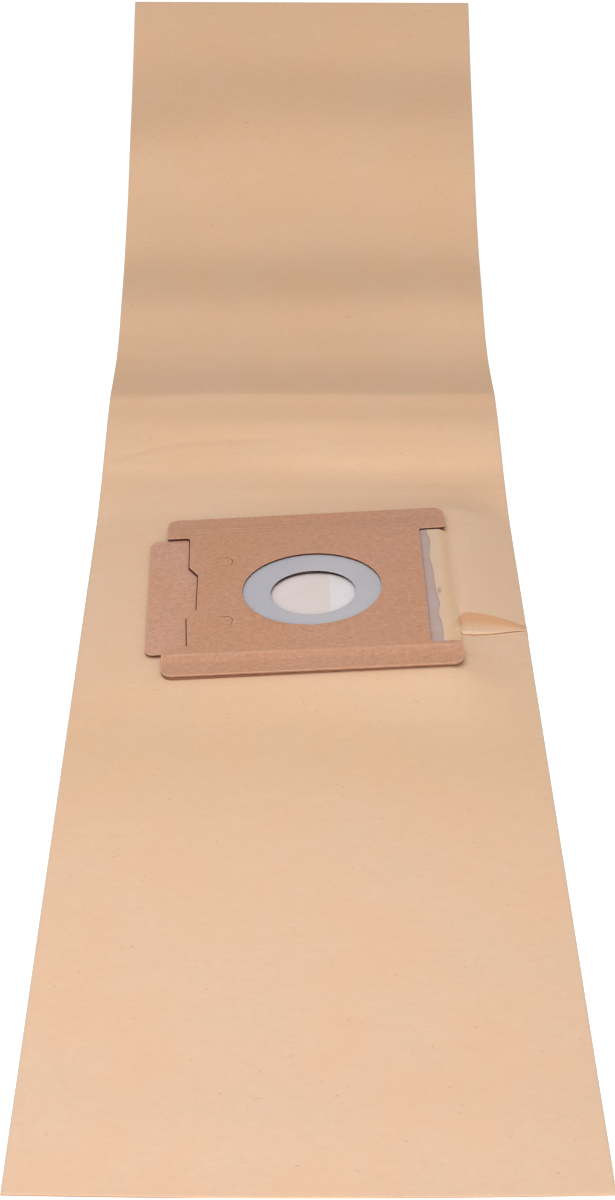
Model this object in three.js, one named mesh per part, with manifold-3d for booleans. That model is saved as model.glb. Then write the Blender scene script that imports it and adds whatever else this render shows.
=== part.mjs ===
// Dust bag for a vacuum cleaner: a long double-ply paper bag with a card collar glued on its upper side.
// Lengths are in millimetres. X runs across the bag, Y along it from the near end to the raised far end, and Z is up.
// The origin is the middle of the bag's bounding box, on the surface that the bag lies on.
import * as THREE from "three";
import { mergeVertices } from "three/addons/utils/BufferGeometryUtils.js";
import Module from "manifold-3d";

// ---- driving dimensions: paper bag ----
const BAG_WIDTH = 165;
const BAG_REACH = 703; // length of its footprint, from end to end along Y
const OUTER_PLY = 0.35; // kraft outer ply
const PLY_GAP = 0.15; // air between the two plies
const LINER_PLY = 0.2; // white tissue ply
const CAVITY = 0.4; // space between the flat-lying walls
const BAG_THICKNESS = 2 * (OUTER_PLY + PLY_GAP + LINER_PLY) + CAVITY;

// The underside of the bag as it lies, [distance from the near end, height]: flat as far as the collar,
// over the packing fold, and up to the far end, which stays lifted.
const LIE = [
  [0, 0],
  [120, 0],
  [226, 0],
  [237, 0],
  [247.5, 0],
  [306.3, 0],
  [366, 0],
  [374, 0.5],
  [382, 1.2],
  [392, 2.4],
  [402, 3.7],
  [416, 6],
  [430, 8.8],
  [450, 11.2],
  [473, 11.6],
  [487, 10.8],
  [500, 10.4],
  [510, 11.1],
  [522, 13],
  [546, 20.5],
  [570, 29],
  [600, 41.6],
  [625, 57],
  [650, 73.2],
  [675, 90.5],
  [703, 109.3],
];

// How far the upper wall has risen with the collar, as a share of the full rise, along the bag.
const RISE_ALONG = [
  [226, 0],
  [237, 0.45],
  [247.5, 1],
  [366, 1],
  [374, 0.75],
  [382, 0.38],
  [392, 0],
];
const RISE_RIGHT_END = 60; // the tilted stretch ends here, and the wall falls to the right-hand fold
const RISE_KNEE = [71, 4.2]; // [X, height above the flat wall] on the way down

// ---- driving dimensions: collar ----
const COLLAR_CENTRE = [2.9, 305.6]; // X, and distance from the near end
const COLLAR_HEIGHT = 6.3; // underside of the base plate at the collar's centre
const ROLL_DEG = 2.9; // the right-hand side of the collar is the higher one
const YAW_DEG = 1.2;
const PLATE_LEFT = -55.3; // all positions on the collar are from its centre
const PLATE_RIGHT = 53.2;
const PLATE_HALF_LENGTH = 57;
const PLATE_CORNER = 4;
const BASE_TOP = 0.8;
const COVER_HOLE_AT = [0.1, -2.1]; // the holes are a little nearer the front than the plates' middle
const INNER_HOLES_AT = [0.5, -3.6]; // in the membrane, shutter, base plate and paper
const BASE_HOLE_D = 40;
const SHUTTER_BOTTOM = 0.95;
const SHUTTER_TOP = 1.65;
const MEMBRANE_BOTTOM = 1.8;
const MEMBRANE_TOP = 2.05;
const COVER_BOTTOM = 2.2;
const COVER_BOARD = 0.8;
const FLANGE_BOTTOM = 0.95;
const CREASE_OUT = 47.6; // the cover steps up between these two lines, on both long sides
const CREASE_IN = 45.2;
const COVER_HOLE_D = 52.2;
const MEMBRANE_HOLE_D = 32;
const MEMBRANE_LEFT = -41;
const MEMBRANE_RIGHT = 50.6;
const MEMBRANE_HALF_LENGTH = 44;
const LEFT_NOTCH_DEPTH = 8.8;
const LEFT_NOTCH_HALF = 40.7;
const THUMB_DEPTH = 12.1;
const THUMB_HALF_IN = 11.5;
const THUMB_HALF_OUT = 17.8;
const RIGHT_NOTCH_DEPTH = 10.9;
const RIGHT_NOTCH_NEAR = -44.2;
const RIGHT_NOTCH_FAR = 39.2;
const TONGUE_LEFT = -35.8;
const TONGUE_RIGHT = -29.6;
const TONGUE_HALF = 3.1;
const TONGUE_OFFSET = 21.7;
const TONGUE_CUT = 0.35; // width of the lance cut round each tongue
const SHUTTER_LEFT = -61.6; // end of the pull tab
const SHUTTER_RIGHT = 51.2;
const SHUTTER_HALF = 41.5;
const SHUTTER_WINDOW_D = 34;
const LAP_NEAR = -40.2; // the paper's lap over the right-hand margin of the base plate, from here
const LAP_FAR = 38.6; // to here
const PAPER_GAP = 0.3; // between the upper wall and the base plate

const wasm = await Module();
wasm.setup();

// ---- solids ----
function solidOf(geometry, matrix) {
  const g = new THREE.BufferGeometry();
  const source = geometry.index ? geometry.toNonIndexed() : geometry;
  g.setAttribute("position", source.getAttribute("position").clone());
  if (matrix) g.applyMatrix4(matrix);
  const merged = mergeVertices(g, 1e-4);
  return new wasm.Manifold(
    new wasm.Mesh({
      numProp: 3,
      vertProperties: new Float32Array(merged.attributes.position.array),
      triVerts: new Uint32Array(merged.index.array),
    }),
  );
}

function geometryOf(solid) {
  const mesh = solid.getMesh();
  const positions = new Float32Array(mesh.numVert * 3);
  for (let i = 0; i < mesh.numVert; i++)
    for (let k = 0; k < 3; k++)
      positions[i * 3 + k] = mesh.vertProperties[i * mesh.numProp + k];
  const g = new THREE.BufferGeometry();
  g.setAttribute("position", new THREE.BufferAttribute(positions, 3));
  g.setIndex(new THREE.BufferAttribute(new Uint32Array(mesh.triVerts), 1));
  g.computeVertexNormals();
  return g;
}

// A closed outline with each corner rounded by its own radius: [x, y, radius].
function roundedOutline(path, corners) {
  const n = corners.length;
  const at = (i) => new THREE.Vector2(corners[i][0], corners[i][1]);
  corners.forEach(([, , r = 0], i) => {
    const p = at(i);
    const before = at((i + n - 1) % n).sub(p);
    const after = at((i + 1) % n).sub(p);
    const half = Math.acos(
      THREE.MathUtils.clamp(
        before.dot(after) / (before.length() * after.length()),
        -1,
        1,
      ),
    );
    const back = Math.min(
      r / Math.tan(half / 2),
      before.length() * 0.49,
      after.length() * 0.49,
    );
    const a = p.clone().addScaledVector(before.normalize(), back);
    const b = p.clone().addScaledVector(after.normalize(), back);
    if (i === 0) path.moveTo(a.x, a.y);
    else path.lineTo(a.x, a.y);
    if (back > 0) path.quadraticCurveTo(p.x, p.y, b.x, b.y);
  });
  path.closePath();
  return path;
}

function circlePath(r, [cx, cy], segments = 72) {
  const path = new THREE.Path();
  for (let i = 0; i <= segments; i++) {
    const a = (i / segments) * 2 * Math.PI;
    const x = cx + r * Math.cos(a);
    const y = cy + r * Math.sin(a);
    if (i === 0) path.moveTo(x, y);
    else path.lineTo(x, y);
  }
  return path;
}

function plateGeometry(shape, bottom, top) {
  const g = new THREE.ExtrudeGeometry(shape, {
    depth: top - bottom,
    steps: 1,
    bevelEnabled: false,
    curveSegments: 5,
  });
  g.translate(0, 0, bottom);
  return g;
}

// ---- the paper bag's walls ----
const along = (table, s) => {
  if (s <= table[0][0]) return table[0][1];
  for (let i = 1; i < table.length; i++)
    if (s <= table[i][0]) {
      const [s0, v0] = table[i - 1];
      const [s1, v1] = table[i];
      return v0 + ((v1 - v0) * (s - s0)) / (s1 - s0);
    }
  return table[table.length - 1][1];
};

const rollSlope = Math.tan(THREE.MathUtils.degToRad(ROLL_DEG));
const wallAtCentre = COLLAR_HEIGHT - PAPER_GAP / Math.cos(THREE.MathUtils.degToRad(ROLL_DEG));
const RISE_LEFT_END =
  COLLAR_CENTRE[0] - (wallAtCentre - BAG_THICKNESS) / rollSlope;

// Height of the upper wall above its flat level: level with the collar's underside, and down to both side folds.
function rise(x, s) {
  const share = along(RISE_ALONG, s);
  if (s < RISE_ALONG[0][0] || share === 0) return 0;
  const tilted = (at) =>
    wallAtCentre - BAG_THICKNESS + (at - COLLAR_CENTRE[0]) * rollSlope;
  let full = 0;
  if (x <= RISE_LEFT_END) full = 0;
  else if (x <= RISE_RIGHT_END) full = tilted(x);
  else
    full = along(
      [
        [RISE_RIGHT_END, tilted(RISE_RIGHT_END)],
        RISE_KNEE,
        [BAG_WIDTH / 2, 0],
      ],
      x,
    );
  return share * full;
}

// The space between two depths in the bag's wall, as one closed body. The depths are counted up from the
// underside, and the upper one follows the collar's rise.
function bagBody(lower, upper, inset) {
  const stations = LIE.map((p) => new THREE.Vector2(p[0], p[1]));
  const normals = stations.map((_, i) => {
    const a = stations[Math.max(0, i - 1)];
    const b = stations[Math.min(stations.length - 1, i + 1)];
    const t = b.clone().sub(a).normalize();
    return new THREE.Vector2(-t.y, t.x);
  });
  const last = stations.length - 1;
  const inward = (i, j) =>
    stations[j].clone().sub(stations[i]).normalize().multiplyScalar(inset);
  const line = stations.map((p, i) => {
    if (i === 0) return p.clone().add(inward(0, 1));
    if (i === last) return p.clone().add(inward(last, last - 1));
    return p.clone();
  });
  const side = (t) => line.map((p, i) => p.clone().addScaledVector(normals[i], t));
  const low = side(lower);
  const high = side(upper);
  const half = BAG_WIDTH / 2 - inset;
  const across = [-half, RISE_LEFT_END, RISE_RIGHT_END, RISE_KNEE[0], half];
  const nx = across.length - 1;
  const g = new THREE.BoxGeometry(nx, last, 1, nx, last, 1);
  const p = g.getAttribute("position");
  for (let i = 0; i < p.count; i++) {
    const x = across[Math.round(p.getX(i) + nx / 2)];
    const j = Math.round(p.getY(i) + last / 2);
    const onTop = p.getZ(i) > 0;
    const at = onTop ? high[j] : low[j];
    const lift = onTop ? rise(x, line[j].x) : 0;
    p.setXYZ(i, x, at.x - BAG_REACH / 2, at.y + lift);
  }
  return solidOf(g);
}

// ---- the collar's own frame ----
const collarPlace = new THREE.Vector3(
  COLLAR_CENTRE[0],
  COLLAR_CENTRE[1] - BAG_REACH / 2,
  COLLAR_HEIGHT,
);
const collarTurn = new THREE.Euler(
  0,
  THREE.MathUtils.degToRad(-ROLL_DEG),
  THREE.MathUtils.degToRad(YAW_DEG),
  "XYZ",
);
const collarMatrix = new THREE.Matrix4().compose(
  collarPlace,
  new THREE.Quaternion().setFromEuler(collarTurn),
  new THREE.Vector3(1, 1, 1),
);

// ---- outer bag and liner ----
const paperHole = solidOf(
  new THREE.CylinderGeometry(BASE_HOLE_D / 2, BASE_HOLE_D / 2, 5, 48),
  new THREE.Matrix4().multiplyMatrices(
    collarMatrix,
    new THREE.Matrix4()
      .makeTranslation(...INNER_HOLES_AT, 0.3)
      .multiply(new THREE.Matrix4().makeRotationX(Math.PI / 2)),
  ),
);

// The lap is paper of the upper wall that comes over the base plate's right-hand margin, in the notch.
const sectionToCollar = new THREE.Matrix4().makeBasis(
  new THREE.Vector3(1, 0, 0),
  new THREE.Vector3(0, 0, 1),
  new THREE.Vector3(0, -1, 0),
);
const lapSection = new THREE.Shape([
  new THREE.Vector2(46.6, 2.35),
  new THREE.Vector2(51, 2.35),
  new THREE.Vector2(53.8, 1.3),
  new THREE.Vector2(54.4, -0.48),
  new THREE.Vector2(55.2, -0.48),
  new THREE.Vector2(54.2, 1.65),
  new THREE.Vector2(51.2, 2.7),
  new THREE.Vector2(46.6, 2.7),
]);
const lap = solidOf(
  new THREE.ExtrudeGeometry(lapSection, {
    depth: LAP_FAR - LAP_NEAR,
    steps: 1,
    bevelEnabled: false,
  }),
  new THREE.Matrix4()
    .multiplyMatrices(
      collarMatrix,
      new THREE.Matrix4().makeTranslation(0, LAP_FAR, 0),
    )
    .multiply(sectionToCollar),
);

const outer = bagBody(0, BAG_THICKNESS, 0)
  .subtract(bagBody(OUTER_PLY, BAG_THICKNESS - OUTER_PLY, OUTER_PLY))
  .subtract(paperHole)
  .add(lap);
const linerSkin = OUTER_PLY + PLY_GAP;
const linerInside = linerSkin + LINER_PLY;
const liner = bagBody(linerSkin, BAG_THICKNESS - linerSkin, linerSkin)
  .subtract(bagBody(linerInside, BAG_THICKNESS - linerInside, linerInside))
  .subtract(paperHole);

// ---- collar plates ----
const rectangle = (left, right, half, r) => [
  [left, -half, r],
  [right, -half, r],
  [right, half, r],
  [left, half, r],
];

const baseShape = roundedOutline(
  new THREE.Shape(),
  rectangle(PLATE_LEFT, PLATE_RIGHT, PLATE_HALF_LENGTH, PLATE_CORNER),
);
baseShape.holes.push(circlePath(BASE_HOLE_D / 2, INNER_HOLES_AT));

const membraneShape = roundedOutline(
  new THREE.Shape(),
  rectangle(MEMBRANE_LEFT, MEMBRANE_RIGHT, MEMBRANE_HALF_LENGTH, 1.5),
);
membraneShape.holes.push(circlePath(MEMBRANE_HOLE_D / 2, INNER_HOLES_AT));

const shutterShape = roundedOutline(new THREE.Shape(), [
  [SHUTTER_LEFT, -SHUTTER_HALF, 3],
  [SHUTTER_RIGHT, -SHUTTER_HALF, 1.5],
  [SHUTTER_RIGHT, SHUTTER_HALF, 1.5],
  [SHUTTER_LEFT, SHUTTER_HALF, 3],
]);
shutterShape.holes.push(circlePath(SHUTTER_WINDOW_D / 2, INNER_HOLES_AT));

const leftNotch = PLATE_LEFT + LEFT_NOTCH_DEPTH;
const thumb = PLATE_LEFT + THUMB_DEPTH;
const rightNotch = PLATE_RIGHT - RIGHT_NOTCH_DEPTH;
const coverShape = roundedOutline(new THREE.Shape(), [
  [PLATE_LEFT, -PLATE_HALF_LENGTH, PLATE_CORNER],
  [PLATE_RIGHT, -PLATE_HALF_LENGTH, PLATE_CORNER],
  [PLATE_RIGHT, RIGHT_NOTCH_NEAR, 0.8],
  [rightNotch, RIGHT_NOTCH_NEAR, 0.8],
  [rightNotch, RIGHT_NOTCH_FAR, 0.8],
  [PLATE_RIGHT, RIGHT_NOTCH_FAR, 0.8],
  [PLATE_RIGHT, PLATE_HALF_LENGTH, PLATE_CORNER],
  [PLATE_LEFT, PLATE_HALF_LENGTH, PLATE_CORNER],
  [PLATE_LEFT, LEFT_NOTCH_HALF, 0.8],
  [leftNotch, LEFT_NOTCH_HALF, 1.8],
  [leftNotch, THUMB_HALF_OUT, 1.2],
  [thumb, THUMB_HALF_IN, 1.2],
  [thumb, -THUMB_HALF_IN, 1.2],
  [leftNotch, -THUMB_HALF_OUT, 1.2],
  [leftNotch, -LEFT_NOTCH_HALF, 1.8],
  [PLATE_LEFT, -LEFT_NOTCH_HALF, 0.8],
]);
coverShape.holes.push(circlePath(COVER_HOLE_D / 2, COVER_HOLE_AT));
for (const centre of [-TONGUE_OFFSET, TONGUE_OFFSET]) {
  const cut = new THREE.Path();
  const arc = (r, from, to) => {
    const points = [];
    for (let i = 0; i <= 8; i++) {
      const a = from + ((to - from) * i) / 8;
      points.push([
        TONGUE_RIGHT - TONGUE_HALF + r * Math.cos(a),
        centre + r * Math.sin(a),
      ]);
    }
    return points;
  };
  const inner = TONGUE_HALF - TONGUE_CUT;
  const points = [
    [TONGUE_LEFT, centre - TONGUE_HALF],
    ...arc(TONGUE_HALF, -Math.PI / 2, Math.PI / 2),
    [TONGUE_LEFT, centre + TONGUE_HALF],
    [TONGUE_LEFT, centre + inner],
    ...arc(inner, Math.PI / 2, -Math.PI / 2),
    [TONGUE_LEFT, centre - inner],
  ];
  points.forEach(([x, y], i) => (i ? cut.lineTo(x, y) : cut.moveTo(x, y)));
  cut.closePath();
  coverShape.holes.push(cut);
}

// The cover's section along the bag: two glued flanges, and the middle stepped up over the shutter.
const coverSection = new THREE.Shape([
  new THREE.Vector2(-PLATE_HALF_LENGTH - 1, FLANGE_BOTTOM),
  new THREE.Vector2(-CREASE_OUT, FLANGE_BOTTOM),
  new THREE.Vector2(-CREASE_IN, COVER_BOTTOM),
  new THREE.Vector2(CREASE_IN, COVER_BOTTOM),
  new THREE.Vector2(CREASE_OUT, FLANGE_BOTTOM),
  new THREE.Vector2(PLATE_HALF_LENGTH + 1, FLANGE_BOTTOM),
  new THREE.Vector2(PLATE_HALF_LENGTH + 1, FLANGE_BOTTOM + COVER_BOARD),
  new THREE.Vector2(CREASE_OUT + 0.3, FLANGE_BOTTOM + COVER_BOARD),
  new THREE.Vector2(CREASE_IN + 0.3, COVER_BOTTOM + COVER_BOARD),
  new THREE.Vector2(-CREASE_IN - 0.3, COVER_BOTTOM + COVER_BOARD),
  new THREE.Vector2(-CREASE_OUT - 0.3, FLANGE_BOTTOM + COVER_BOARD),
  new THREE.Vector2(-PLATE_HALF_LENGTH - 1, FLANGE_BOTTOM + COVER_BOARD),
]);
const coverBlank = solidOf(
  new THREE.ExtrudeGeometry(coverSection, {
    depth: PLATE_RIGHT - PLATE_LEFT + 2,
    steps: 1,
    bevelEnabled: false,
  }),
  new THREE.Matrix4()
    .makeTranslation(PLATE_LEFT - 1, 0, 0)
    .multiply(
      new THREE.Matrix4().makeBasis(
        new THREE.Vector3(0, 1, 0),
        new THREE.Vector3(0, 0, 1),
        new THREE.Vector3(1, 0, 0),
      ),
    ),
);
const coverSolid = coverBlank.intersect(
  solidOf(plateGeometry(coverShape, -1, 5)),
);

// ---- materials ----
const material = (color, roughness) =>
  new THREE.MeshStandardMaterial({ color, roughness, metalness: 0 });
const kraft = material(0xe4be9d, 0.85);
const tissue = material(0xe6dcd8, 0.9);
const card = material(0xc08f73, 0.9);
const shutterCard = material(0xc8967b, 0.9);
const sealSheet = material(0xb4b2b7, 0.5);

const named = (name, geometry, mat) => {
  const mesh = new THREE.Mesh(geometry, mat);
  mesh.name = name;
  return mesh;
};

// ---- scene graph ----
const dustBag = new THREE.Group();
dustBag.add(named("outer_paper_bag", geometryOf(outer), kraft));
dustBag.add(named("inner_filter_liner", geometryOf(liner), tissue));

const collar = new THREE.Group();
collar.position.copy(collarPlace);
collar.rotation.copy(collarTurn);
collar.add(
  named("collar_base_plate", plateGeometry(baseShape, 0, BASE_TOP), card),
);
collar.add(
  named(
    "closing_shutter",
    plateGeometry(shutterShape, SHUTTER_BOTTOM, SHUTTER_TOP),
    shutterCard,
  ),
);
collar.add(
  named(
    "sealing_membrane",
    plateGeometry(membraneShape, MEMBRANE_BOTTOM, MEMBRANE_TOP),
    sealSheet,
  ),
);
collar.add(named("collar_cover_plate", geometryOf(coverSolid), card.clone()));
dustBag.add(collar);

export default dustBag;
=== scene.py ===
import math

import bmesh
import bpy
import numpy as np
from mathutils import Matrix, Vector, noise
from mathutils.geometry import tessellate_polygon


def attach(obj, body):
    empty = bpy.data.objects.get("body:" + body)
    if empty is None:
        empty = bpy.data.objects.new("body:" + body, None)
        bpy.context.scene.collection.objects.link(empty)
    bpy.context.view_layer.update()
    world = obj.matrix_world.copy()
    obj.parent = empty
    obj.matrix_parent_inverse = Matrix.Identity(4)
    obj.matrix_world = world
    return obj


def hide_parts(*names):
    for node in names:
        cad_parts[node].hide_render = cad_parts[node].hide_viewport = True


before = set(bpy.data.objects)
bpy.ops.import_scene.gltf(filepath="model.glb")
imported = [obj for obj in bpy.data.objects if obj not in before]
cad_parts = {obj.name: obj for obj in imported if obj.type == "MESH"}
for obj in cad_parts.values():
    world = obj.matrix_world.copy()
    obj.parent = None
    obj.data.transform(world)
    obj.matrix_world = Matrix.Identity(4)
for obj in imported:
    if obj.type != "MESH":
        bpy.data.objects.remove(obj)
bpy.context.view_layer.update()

# Lengths below are millimetres until a mesh is written; the part frame has X across, Y along, Z up.
MM = 0.001
HALF_WIDTH = 82.5
HALF_REACH = 351.5
REACH = 703.0


# ---------------------------------------------------------------- camera
def make_camera():
    yaw, pitch, roll = (math.radians(a) for a in (0.480, 30.932, 0.348))
    forward = Vector(
        (
            math.sin(yaw) * math.cos(pitch),
            math.cos(yaw) * math.cos(pitch),
            -math.sin(pitch),
        )
    )
    right = Vector((math.cos(yaw), -math.sin(yaw), 0))
    down = forward.cross(right)
    right_r = right * math.cos(roll) - down * math.sin(roll)
    down_r = right * math.sin(roll) + down * math.cos(roll)
    data = bpy.data.cameras.new("camera")
    data.lens = 72
    data.sensor_width = 36
    data.clip_start = 0.05
    data.clip_end = 30
    camera = bpy.data.objects.new("camera", data)
    bpy.context.scene.collection.objects.link(camera)
    m = Matrix((right_r, -down_r, -forward)).transposed().to_4x4()
    m.translation = Vector((-5.204, -820.038, 466.617)) * MM
    camera.matrix_world = m
    bpy.context.scene.camera = camera
    return camera


camera = make_camera()


# ---------------------------------------------------------------- small maths
def curve(points):
    """A smooth monotone curve through [x, y] points, as a function of arrays."""
    x = np.array([p[0] for p in points], float)
    y = np.array([p[1] for p in points], float)
    h = np.diff(x)
    d = np.diff(y) / h
    m = np.zeros(len(x))
    both = d[:-1] * d[1:]
    safe = np.where(both > 0, d[:-1] + d[1:], 1)
    m[1:-1] = np.where(both > 0, 2 * both / safe, 0)
    m[0], m[-1] = d[0], d[-1]

    def f(q):
        q = np.clip(np.asarray(q, float), x[0], x[-1])
        i = np.clip(np.searchsorted(x, q, side="right") - 1, 0, len(h) - 1)
        t = (q - x[i]) / h[i]
        t2, t3 = t * t, t * t * t
        return (
            (2 * t3 - 3 * t2 + 1) * y[i]
            + (t3 - 2 * t2 + t) * h[i] * m[i]
            + (3 * t2 - 2 * t3) * y[i + 1]
            + (t3 - t2) * h[i] * m[i + 1]
        )

    return f


def smooth(a, b, v):
    t = np.clip((np.asarray(v, float) - a) / (b - a), 0, 1)
    return t * t * (3 - 2 * t)


def bump(v, centre, width):
    return np.exp(-(((np.asarray(v, float) - centre) / width) ** 2))


def field(x, y, seed, size, stretch=1.0, octaves=2):
    """Smooth noise over two arrays, about -1 to 1, the same on each run."""
    out = np.zeros(np.broadcast(x, y).shape)
    flat_x = np.broadcast_to(x, out.shape).ravel()
    flat_y = np.broadcast_to(y, out.shape).ravel()
    values = np.empty(flat_x.size)
    for i in range(flat_x.size):
        p = Vector((flat_x[i] / (size * stretch), flat_y[i] / size, seed * 7.31))
        total, gain = 0.0, 1.0
        for _ in range(octaves):
            total += gain * noise.noise(p)
            p = p * 2.07
            gain *= 0.5
        values[i] = total
    return values.reshape(out.shape)


# ---------------------------------------------------------------- the collar's own frame
COLLAR_AT = np.array([2.9, -45.9, 6.3])
ROLL = math.radians(2.9)
YAW = math.radians(1.2)
ROLL_SLOPE = math.tan(ROLL)
COVER_HOLE_AT = (0.1, -2.1)
INNER_HOLES_AT = (0.5, -3.6)


def collar(u, v, w):
    """Points of the collar's frame in the part frame: u across, v along, w out of the collar."""
    u, v, w = np.broadcast_arrays(
        *(np.asarray(a, float) for a in (u, v, w))
    )
    x1 = u * math.cos(YAW) - v * math.sin(YAW)
    y1 = u * math.sin(YAW) + v * math.cos(YAW)
    return np.stack(
        [
            COLLAR_AT[0] + x1 * math.cos(ROLL) - w * math.sin(ROLL),
            COLLAR_AT[1] + y1,
            COLLAR_AT[2] + x1 * math.sin(ROLL) + w * math.cos(ROLL),
        ],
        -1,
    )


def collar_underside(x):
    """Height of the collar's underside above X."""
    return COLLAR_AT[2] + (np.asarray(x, float) - COLLAR_AT[0]) * ROLL_SLOPE


# ---------------------------------------------------------------- mesh helpers
def new_object(name, vertices, faces, material_index=None, smooth_faces=True):
    mesh = bpy.data.meshes.new(name)
    mesh.from_pydata(
        [tuple(p) for p in (np.asarray(vertices, float) * MM)],
        [],
        [tuple(int(i) for i in f) for f in faces],
    )
    mesh.validate()
    if smooth_faces:
        mesh.polygons.foreach_set("use_smooth", [True] * len(mesh.polygons))
    if material_index is not None:
        mesh.polygons.foreach_set("material_index", list(material_index))
    mesh.update()
    o = bpy.data.objects.new(name, mesh)
    bpy.context.scene.collection.objects.link(o)
    return o


def apply_modifiers(o):
    depsgraph = bpy.context.evaluated_depsgraph_get()
    mesh = bpy.data.meshes.new_from_object(o.evaluated_get(depsgraph))
    old = o.data
    o.modifiers.clear()
    o.data = mesh
    bpy.data.meshes.remove(old)
    o.data.name = o.name
    return o


# ---------------------------------------------------------------- how the paper lies
LIE = curve(
    [
        (0, 0),
        (120, 0),
        (366, 0),
        (374, 0.4),
        (382, 1.1),
        (392, 2.3),
        (402, 3.7),
        (416, 6.1),
        (430, 8.4),
        (442, 10.2),
        (452, 11.4),
        (456.5, 11.95),
        (459.5, 12.18),
        (462.5, 12.02),
        (467, 11.7),
        (475, 11.15),
        (487, 10.4),
        (498, 10.15),
        (510, 11.2),
        (522, 13.2),
        (546, 20.5),
        (570, 29.2),
        (600, 42.3),
        (625, 56.6),
        (650, 72.4),
        (675, 89.7),
        (703, 109.3),
    ]
)
RISE_ALONG = curve(
    [(212, 0), (222, 0.08), (236, 0.5), (250, 1), (364, 1), (374, 0.7), (384, 0.3), (396, 0)]
)
BOTTOM = 0.2  # the back wall's height over what the bag lies on; its glued seam stands below it
END_LIFT = 0.36  # where the end is folded under
EDGE_T = 0.42  # both walls together at a side fold
MIDDLE_T = 1.15  # and in the middle
NOSE_T = 0.31


def thickness(x, s):
    ends = smooth(0, 30, s) * smooth(0, 30, REACH - s)
    full = EDGE_T + (MIDDLE_T - EDGE_T) * (1 - np.abs(x / HALF_WIDTH) ** 5)
    return NOSE_T + (full - NOSE_T) * ends


def base_lift(s):
    near = 1 - smooth(27, 46, s)
    far = 1 - smooth(27, 46, REACH - s)
    return BOTTOM + (END_LIFT - BOTTOM) * np.maximum(near, far)


# Height of the upper wall above the floor where it has fully risen with the collar, right of the collar.
RIGHT_SLOPE = curve(
    [
        (54, 8.82),
        (60, 9.0),
        (64, 8.35),
        (68, 7.2),
        (72, 5.7),
        (76, 4.0),
        (79.4, 2.3),
        (81.6, 1.1),
        (82.5, 0.62),
    ]
)
# Share of that height which is left on the near side of the tuck.
LOWER_SHARE = curve([(50, 1.0), (57, 0.86), (62, 0.66), (68, 0.48), (75, 0.36), (82.5, 0.3)])


def rise_full(x):
    flat = BOTTOM + thickness(x, 300.0)
    plane = collar_underside(x) - 0.06
    blend = smooth(54, 60, x)
    height = plane * (1 - blend) + RIGHT_SLOPE(x) * blend
    # a soft start on the left, where the plane leaves the flat wall
    k = 0.5
    over = height - flat
    soft = 0.5 * (over + np.sqrt(over * over + k * k)) - 0.5 * (
        np.sqrt(16.0 + k * k) - 4.0
    )
    return np.maximum(soft * smooth(-82.5, -74, x), 0)


def crinkle(x, s):
    """Relief that the paper keeps from having been folded and handled."""
    far = smooth(370, 400, s)
    z = 0.10 * field(x, s, 1, 34, 2.2) * (0.55 + 0.45 * far)
    z += far * 0.22 * field(x, s, 2, 46, 3.2)
    return z


def profile_of(x, s):
    """Long soft waves across the bag beyond the collar, and the small creases there."""
    z = np.zeros(np.broadcast(x, s).shape)
    ridge = lambda s0, x0, dx, width, height, tilt=0.0: height * bump(
        s, s0 + tilt * (x - x0), width
    ) * bump(x, x0, dx)
    z = z + ridge(413, 20, 55, 5.0, 0.50, -0.01)
    z = z + ridge(408, -70, 18, 2.2, 0.30, 0.03)
    fold = np.interp(x, [-82, -75, -62, -48, -30, -10], [411.5, 413.5, 419, 423, 424.8, 425])
    seen = smooth(-83, -76, x) * (1 - smooth(-30, 0, x))
    z = z - 0.30 * bump(s - fold, 0.6, 2.0) * seen
    z = z + (0.20 + 0.16 * (1 - smooth(-72, -56, x))) * bump(s - fold, -3.0, 2.0) * seen
    z = z + ridge(434, -25, 60, 6.0, 0.30, 0.02)
    z = z - ridge(428, 30, 40, 4.0, 0.22, -0.02)
    return z


def wave(x, s):
    """Broad waves of the whole empty bag, both walls together."""
    sway = 1 + 0.25 * np.sin(x / 31.0 + 0.8)
    z = -0.30 * bump(s, 403 + 0.03 * x, 7.0) * sway + 0.50 * bump(s, 438 - 0.02 * x, 8.0) * sway
    z = z + 0.90 * bump(s, 540 + 0.05 * x, 13.0) * sway - 0.95 * bump(s, 574 + 0.04 * x, 14.0) * sway
    z = z - 0.50 * bump(s, 599 - 0.04 * x, 12.0) + 0.55 * bump(s, 627 - 0.05 * x, 12.0)
    z = z + 0.80 * bump(s, 641 + 0.03 * x, 12.0) * sway - 0.90 * bump(s, 672, 12.0) * sway
    return z


# ---------------------------------------------------------------- outer paper bag
def tuck_nodes(x):
    """The tuck's path at X right of the collar: (distance from the near end, height, rows up to the next)."""
    flat = BOTTOM + thickness(x, 300.0)
    top = flat + rise_full(x)
    low = flat + rise_full(x) * LOWER_SHARE(x)
    drop = np.maximum(top - low, 0.05)
    lip_s = LIP_S(x)
    crest_s = CREST_S(x)
    lip = low + np.minimum(0.62, 0.25 + 0.35 * drop)
    under = 4.6
    span = crest_s - lip_s
    return [
        (258.0, low, 5),
        (lip_s - 3.5, low, 2),
        (lip_s + 0.5, low, 3),
        (lip_s + under, low + 0.02, 1),
        (lip_s + under + 0.12, low + 0.13, 1),
        (lip_s + under, low + 0.24, 2),
        (lip_s + 1.6, low * 0.45 + lip * 0.55 - 0.05, 1),
        (lip_s + 0.35, lip - 0.24, 1),
        (lip_s, lip - 0.10, 1),
        (lip_s + 0.05, lip + 0.06, 1),
        (lip_s + 0.45, lip + 0.17, 2),
        (lip_s + 0.30 * span, lip + 0.34 * (top - lip), 2),
        (lip_s + 0.60 * span, lip + 0.69 * (top - lip), 2),
        (lip_s + 0.82 * span, lip + 0.92 * (top - lip), 1),
        (lip_s + 0.93 * span, lip + 0.985 * (top - lip), 1),
        (crest_s + 0.6, top, 1),
        (crest_s + 3.0, top, 2),
        (302.0, top, 0),
    ]


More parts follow.
